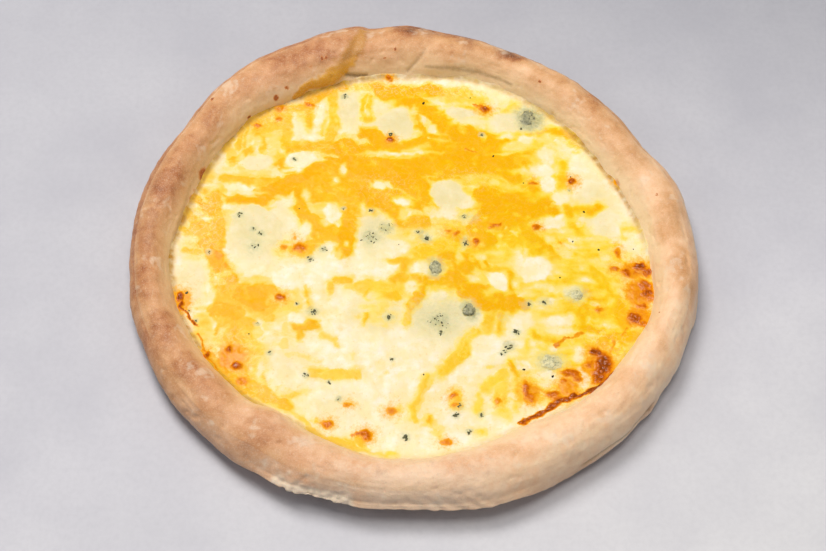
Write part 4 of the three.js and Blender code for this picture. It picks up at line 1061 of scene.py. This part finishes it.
class Recipe:
    """Short ways to write a material's nodes."""

    def __init__(self, name):
        self.material = bpy.data.materials.new(name)
        self.material.use_nodes = True
        self.tree = self.material.node_tree
        self.shader = self.tree.nodes["Principled BSDF"]
        self.place = self.add("ShaderNodeTexCoord").outputs["Object"]

    def add(self, kind, **settings):
        node = self.tree.nodes.new(kind)
        for key, value in settings.items():
            setattr(node, key, value)
        return node

    def feed(self, socket, value):
        if isinstance(value, bpy.types.NodeSocket):
            self.tree.links.new(value, socket)
        elif isinstance(value, str):
            socket.default_value = colour(value)
        else:
            socket.default_value = value

    def field(self, name):
        return self.add("ShaderNodeAttribute", attribute_name=name).outputs["Fac"]

    def noise(self, size_mm, detail=3, rough=0.55):
        node = self.add("ShaderNodeTexNoise")
        node.inputs["Scale"].default_value = 1 / (size_mm * MM)
        node.inputs["Detail"].default_value = detail
        node.inputs["Roughness"].default_value = rough
        self.tree.links.new(self.place, node.inputs["Vector"])
        return node.outputs["Fac"]

    def math(self, kind, a, b=0.0, c=None):
        node = self.add("ShaderNodeMath", operation=kind)
        self.feed(node.inputs[0], a)
        self.feed(node.inputs[1], b)
        if c is not None:
            self.feed(node.inputs[2], c)
        return node.outputs[0]

    def shaken(self, value, noise, amount):
        """The value, moved up and down by a noise whose middle is a half."""
        moved = self.math("MULTIPLY_ADD", noise, 2 * amount, -amount)
        return self.math("ADD", value, moved)

    def ramp(self, value, *stops):
        """stops are (position, colour code or number)."""
        node = self.add("ShaderNodeValToRGB")
        elements = node.color_ramp.elements
        while len(elements) < len(stops):
            elements.new(0.5)
        for element, (position, tone) in zip(elements, stops):
            element.position = position
            element.color = colour(tone) if isinstance(tone, str) else [tone, tone, tone, 1]
        self.feed(node.inputs["Fac"], value)
        return node.outputs["Color"]

    def mix(self, a, b, share, kind="MIX"):
        node = self.add("ShaderNodeMix", data_type="RGBA", blend_type=kind)
        by_type = {socket.identifier: socket for socket in node.inputs}
        self.feed(by_type["Factor_Float"], share)
        self.feed(by_type["A_Color"], a)
        self.feed(by_type["B_Color"], b)
        return next(socket for socket in node.outputs if socket.identifier == "Result_Color")

    def bump(self, height, distance_mm, strength=1.0, normal=None):
        node = self.add("ShaderNodeBump")
        node.inputs["Strength"].default_value = strength
        node.inputs["Distance"].default_value = distance_mm * MM
        self.feed(node.inputs["Height"], height)
        if normal is not None:
            self.feed(node.inputs["Normal"], normal)
        return node.outputs["Normal"]

    def finish(self, base, roughness, normal, specular, subsurface=0.0, radius_mm=(1, 0.6, 0.3), coat=0.0):
        self.feed(self.shader.inputs["Base Color"], base)
        self.feed(self.shader.inputs["Roughness"], roughness)
        self.feed(self.shader.inputs["Normal"], normal)
        self.shader.inputs["Subsurface Weight"].default_value = subsurface
        self.shader.inputs["Subsurface Radius"].default_value = radius_mm
        self.shader.inputs["Subsurface Scale"].default_value = MM
        self.feed(self.shader.inputs["Specular IOR Level"], specular)
        self.shader.inputs["Coat Weight"].default_value = coat
        self.shader.inputs["Coat Roughness"].default_value = COAT_ROUGHNESS
        return self.material


def crust_material():
    r = Recipe("baked_dough")
    grain = r.noise(0.9, 4, 0.65)
    patch = r.noise(5, 4, 0.6)
    bake = r.shaken(r.shaken(r.field("bake"), patch, 0.16), grain, 0.1)
    tone = r.ramp(bake, (0.05, "f5d6b4"), (0.25, "efc49c"), (0.45, "e1b082"), (0.66, "cd9662"),
                  (0.84, "aa6a3a"), (1.0, "743d1c"))
    pink = r.ramp(bake, (0.05, "ebcbaf"), (0.3, "dfb08b"), (0.55, "cc9268"), (0.8, "aa6b45"),
                  (1.0, "743d1c"))
    base = r.mix(tone, pink, r.field("blush"))
    stain = r.math("MULTIPLY", r.field("blush"), r.ramp(r.noise(7, 5, 0.7), (0.54, 0.0), (0.7, 0.4)))
    base = r.mix(base, "a98a78", stain)
    # The lower inner wall in a greasy cream tone, partly painted light.
    wall = r.mix("f6dcb4", "e8be84", r.field("blush"))
    base = r.mix(base, wall, r.math("MULTIPLY", r.field("grease_and_painted_light"), 0.85))
    # Flour, with the paler right and near right outer side partly painted light.
    flour_and_painted_light = r.ramp(r.shaken(r.field("flour_and_painted_light"), grain, 0.3), (0.2, 0.0), (0.9, 0.85))
    base = r.mix(base, "efe0cb", flour_and_painted_light)
    # Cheddar that has run over the rim: brown and mottled on top, yellow along the foot.
    melt = r.shaken(r.field("melt"), patch, 0.15)
    ochre = r.ramp(r.field("crest"), (0.0, "e0a01e"), (0.5, "e8ac38"), (0.85, "e0a64c"), (1.0, "c48e4a"))
    ochre = r.mix(ochre, "a96c26", r.ramp(r.noise(1.7, 4, 0.65), (0.6, 0.0), (0.78, 0.5)))
    base = r.mix(base, ochre, r.ramp(melt, (0.1, 0.0), (0.8, 0.95)))
    spot = r.shaken(r.field("spot"), grain, 0.14)
    base = r.mix(base, r.ramp(spot, (0.15, "d68a3a"), (0.5, "b55d18"), (0.75, "8a3c0e"), (0.95, "4a2210")),
                 r.ramp(spot, (0.08, 0.0), (0.42, 0.95)))
    # Painted shade, dark olive, in the crease, the gap and the pinched fold, and along the foot of the
    # wall.
    base = r.mix(base, "7d5f2c", r.math("MULTIPLY", r.field("painted_groove_shade"), 0.8))
    # The base, which no picture shows: baked in broad patches and small ones.
    under = r.shaken(r.shaken(r.field("under"), r.noise(26, 4, 0.6), 1.3), r.noise(6, 5, 0.7), 1.3)
    base = r.mix(base, r.ramp(under, (0.1, "d9a974"), (0.5, "b87a42"), (0.85, "7a451e"), (1, "52290f")),
                 r.ramp(r.field("under"), (0.02, 0.0), (0.2, 1.0)))
    # Fine darker and floury freckles all over.
    base = r.mix(base, "b07a52", r.ramp(r.noise(1.2, 3, 0.7), (0.58, 0.0), (0.78, 0.24)))
    base = r.mix(base, "f3dfc6", r.ramp(r.noise(0.7, 3, 0.7), (0.5, 0.0), (0.76, 0.4)))
    normal = r.bump(r.noise(2.6, 5, 0.7), 0.4, 0.55)
    normal = r.bump(r.noise(0.9, 4, 0.7), 0.3, 0.6, normal)
    wet = r.math("MAXIMUM", r.field("grease_and_painted_light"), r.field("melt"))
    roughness = r.ramp(r.math("ADD", wet, r.noise(3, 2)), (0.3, 0.6), (1.4, 0.34))
    return r.finish(base, roughness, normal, 0.35, subsurface=0.1, radius_mm=(2.0, 1.0, 0.5))


def cheese_material():
    r = Recipe("melted_cheese_mix")
    grain = r.noise(0.8, 3, 0.6)
    cloud = r.noise(4, 4, 0.6)
    cheddar = r.shaken(r.shaken(r.field("cheddar"), cloud, 0.14), grain, 0.04)
    lemon = r.ramp(cheddar, (0.02, "f1e8c6"), (0.14, "f0e4b2"), (0.3, "efdd84"), (0.5, "efd54e"),
                   (0.68, "edc826"), (0.84, "ebb90a"), (0.98, "ebb200"))
    peach = r.ramp(cheddar, (0.02, "f1e6c4"), (0.14, "f0e0b4"), (0.3, "efd88c"), (0.5, "efce5c"),
                   (0.68, "edbf34"), (0.84, "ebb210"), (0.98, "eaab00"))
    base = r.mix(lemon, peach, r.field("peach"))
    # Mozzarella: duller and creamier in places, and clean white in others.
    plain = r.ramp(cheddar, (0.1, 1.0), (0.34, 0.0))
    cream = r.ramp(r.noise(9, 4, 0.55), (0.42, 0.0), (0.6, 0.6))
    base = r.mix(base, "ece0aa", r.math("MULTIPLY", cream, plain))
    dull = r.ramp(r.shaken(r.field("dull"), r.noise(5, 4, 0.6), 0.35), (0.2, 0.0), (1.0, 0.75))
    base = r.mix(base, "dacf9a", r.math("MULTIPLY", dull, plain))
    clean = r.math("MULTIPLY", plain, r.ramp(r.field("dull"), (0.0, 0.85), (0.6, 0.25)))
    milky = r.ramp(r.noise(6, 3, 0.5), (0.46, 0.0), (0.7, 1.0))
    base = r.mix(base, "f5f0e2", r.math("MULTIPLY", clean, milky))
    blue = r.shaken(r.field("blue"), r.noise(1.6, 3, 0.6), 0.26)
    base = r.mix(base, r.ramp(blue, (0.2, "dad8ae"), (0.6, "b4b68e"), (1, "84896c")),
                 r.ramp(blue, (0.08, 0.0), (0.6, 0.85)))
    # Fine squiggles, pale and golden, most of all in the bubbly places; the pale ones are partly painted
    # glints.
    lively = r.math("MULTIPLY_ADD", r.field("froth"), 0.85, 0.1)
    squiggle_and_painted_glint = r.ramp(r.noise(3.4, 2, 0.5), (0.455, 0.0), (0.5, 0.42), (0.545, 0.0))
    base = r.mix(base, "f4e8bc", r.math("MULTIPLY", lively, squiggle_and_painted_glint))
    golden = r.ramp(r.noise(4.2, 2, 0.5), (0.46, 0.0), (0.5, 0.6), (0.54, 0.0))
    golden = r.math("MULTIPLY", golden, r.ramp(cheddar, (0.15, 0.0), (0.45, 1.0)))
    base = r.mix(base, "e0a416", r.math("MULTIPLY", lively, golden))
    # A darker, browner tone along the edge, and then the browned blisters, with painted shade darkening
    # their creases.
    edge = r.math("MULTIPLY", r.field("edge"), r.ramp(r.noise(5, 4), (0.36, 0.45), (0.6, 1.0)))
    base = r.mix(base, r.ramp(r.field("edge"), (0.3, "e0b45c"), (0.9, "b8883a")), edge)
    brown = r.shaken(r.shaken(r.field("brown"), grain, 0.1), r.noise(2.0, 3, 0.6), 0.2)
    painted_crease_shade = r.math("MULTIPLY", r.field("crease"), r.math("MULTIPLY", brown, 0.2))
    brown = r.math("ADD", brown, painted_crease_shade)
    base = r.mix(base, r.ramp(brown, (0.1, "efb82e"), (0.3, "eca614"), (0.48, "e29006"), (0.64, "d27400"),
                              (0.84, "b65a00"), (1.0, "8c4000")),
                 r.ramp(brown, (0.05, 0.0), (0.3, 1.0)))
    normal = r.bump(r.noise(3.2, 3, 0.55), 0.25, 0.3)
    normal = r.bump(r.noise(0.9, 2, 0.5), 0.06, 0.14, normal)
    plain_roughness = r.ramp(r.noise(5, 3), (0.3, 0.3), (0.7, 0.46))
    roughness = r.math("SUBTRACT", plain_roughness, r.math("MULTIPLY", brown, 0.14))
    glossy = r.math("MAXIMUM", r.field("froth"), r.field("brown"))
    shine = r.ramp(glossy, (0.1, 0.04), (0.9, 0.2))
    return r.finish(base, roughness, normal, shine, subsurface=0.15, radius_mm=(2.0, 1.2, 0.5), coat=0.05)


def lump_material():
    r = Recipe("blue_cheese")
    grain = r.noise(0.7, 4, 0.65)
    vein = r.shaken(r.field("vein"), r.noise(1.8, 4, 0.65), 0.5)
    base = r.ramp(vein, (0.0, "e6e0b4"), (0.35, "c4c298"), (0.65, "9a9a7a"), (1, "5c604a"))
    base = r.mix(base, "e2ddb4", r.ramp(grain, (0.58, 0.0), (0.8, 0.5)))
    base = r.mix(base, "3a3c2a", r.ramp(r.noise(1.0, 3, 0.7), (0.55, 0.0), (0.66, 0.75)))
    skirt = r.ramp(r.shaken(r.field("skirt"), r.noise(1.6, 3), 0.4), (0.2, 0.0), (1.0, 0.75))
    base = r.mix(base, "e0d69c", skirt)
    normal = r.bump(r.noise(1.1, 4, 0.65), 0.3, 0.6)
    return r.finish(base, 0.4, normal, 0.35, subsurface=0.2, radius_mm=(1.6, 1.4, 0.9))


def crumb_material(name, dark, light):
    r = Recipe(name)
    base = r.mix(dark, light, r.ramp(r.noise(0.8, 3), (0.35, 0.0), (0.7, 1.0)))
    normal = r.bump(r.noise(0.4, 3), 0.1, 0.5)
    return r.finish(base, 0.6, normal, 0.25)


# Painted light on the floor, brighter towards the near right: its tone in the middle, and how fast it
# changes for each metre, to the back and to the right. It changes to the back the faster, the further to
# the right it is.
FLOOR_MIDDLE = 0.43
FLOOR_BACK = -1.5
FLOOR_TWIST = -3.4
FLOOR_ACROSS = 0.25


def floor_material():
    r = Recipe("pale_floor")
    cloud = r.ramp(r.noise(70, 5, 0.6), (0.3, "d3d6df"), (0.7, "e0e3ea"))
    base = r.mix(cloud, "c8cbd4", r.ramp(r.noise(3, 4, 0.6), (0.4, 0.0), (0.8, 0.35)))
    apart = r.add("ShaderNodeSeparateXYZ")
    r.feed(apart.inputs[0], r.place)
    rate = r.math("MULTIPLY_ADD", apart.outputs["X"], FLOOR_TWIST, FLOOR_BACK)
    across = r.math("MULTIPLY_ADD", apart.outputs["X"], FLOOR_ACROSS, FLOOR_MIDDLE)
    painted_light_slant = r.math("MULTIPLY_ADD", apart.outputs["Y"], rate, across)
    # Painted light: the floor is brighter towards the near right.
    light = r.ramp(painted_light_slant, (0.0, "c2c3c9"), (0.5, "ececf1"), (0.9, "ffffff"))
    base = r.mix(base, light, 1.0, "MULTIPLY")
    normal = r.bump(r.noise(8, 3), 0.1, 0.15)
    return r.finish(base, 0.85, normal, 0.2)


# ---- Putting it together ----------------------------------------------------------------------

def settle(piece, material, replaced=()):
    piece.data.materials.append(material)
    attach(piece, "root")
    if replaced:
        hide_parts(*replaced)


crust = make_crust(plan_tree(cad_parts["crust"]))
settle(crust, crust_material(), ["crust"])
crust_tree = plan_tree(crust)
cheese = make_cheese(crust_tree)
settle(cheese, cheese_material(), ["cheese"])
trees = [plan_tree(cheese), crust_tree]
blue_material = lump_material()
for index in range(len(LUMP_TONES)):
    settle(make_lump(index), blue_material, [f"blue_cheese_{index + 1}"])
mould_material = crumb_material("mould_green", "36382a", "70714e")
settle(make_mould(*trees), mould_material)
burnt_material = crumb_material("burnt_black", "1d1410", "3a261a")
settle(make_burnt(*trees), burnt_material)


# ---- Floor, light and camera ------------------------------------------------------------------

CAMERA_TURN = math.radians(32)       # away from looking straight down
CAMERA_DISTANCE = 0.846
CAMERA_TARGET = Vector((0.00003, -0.01735, 0.010))
CAMERA_LENS = 70
CAMERA_SENSOR = 36
FLOOR_REACH = 1.6
FLOOR_DROP = 0.0002        # a hair under the base, so that the two don't share a plane
SKY, SKY_STRENGTH = "e4e8f2", 0.14
LIGHTS = [                 # name, place in metres, size across, power, colour
    ("window", (-0.4, 0.62, 1.42), 0.75, 17.9, "fff8ee"),
    ("overhead", (0.1, -0.02, 1.6), 0.7, 9.3, "fff6ea"),
    ("left_fill", (-1.2, -0.1, 1.0), 0.9, 3.0, "fff8ee"),
    ("right_fill", (1.35, -0.35, 0.9), 0.9, 2.6, "fff4e6"),
]


def make_floor():
    mesh = bpy.data.meshes.new("floor")
    corners = [(x * FLOOR_REACH, y * FLOOR_REACH, 0) for x, y in ((-1, -1), (1, -1), (1, 1), (-1, 1))]
    mesh.from_pydata(corners, [], [(0, 1, 2, 3)])
    mesh.materials.append(floor_material())
    floor = bpy.data.objects.new("floor", mesh)
    floor.location.z = -FLOOR_DROP
    bpy.context.scene.collection.objects.link(floor)


def light_scene():
    world = bpy.data.worlds.new("soft_daylight")
    bpy.context.scene.world = world
    world.use_nodes = True
    background = world.node_tree.nodes["Background"]
    background.inputs["Color"].default_value = colour(SKY)
    background.inputs["Strength"].default_value = SKY_STRENGTH
    for name, place, size, power, tint in LIGHTS:
        light = bpy.data.lights.new(name, "AREA")
        light.shape = "DISK"
        light.size = size
        light.energy = power
        light.color = colour(tint)[:3]
        lamp = bpy.data.objects.new(name, light)
        lamp.location = place
        lamp.rotation_euler = (-Vector(place)).to_track_quat("-Z", "Y").to_euler()
        bpy.context.scene.collection.objects.link(lamp)


def place_camera():
    data = bpy.data.cameras.new("camera")
    data.lens = CAMERA_LENS
    data.sensor_width = CAMERA_SENSOR
    camera = bpy.data.objects.new("camera", data)
    back = Vector((0, -math.sin(CAMERA_TURN), math.cos(CAMERA_TURN)))
    camera.location = CAMERA_TARGET + back * CAMERA_DISTANCE
    camera.rotation_euler = (CAMERA_TURN, 0, 0)
    bpy.context.scene.collection.objects.link(camera)
    bpy.context.scene.camera = camera


make_floor()
light_scene()
place_camera()
bpy.context.scene.view_settings.view_transform = "Standard"
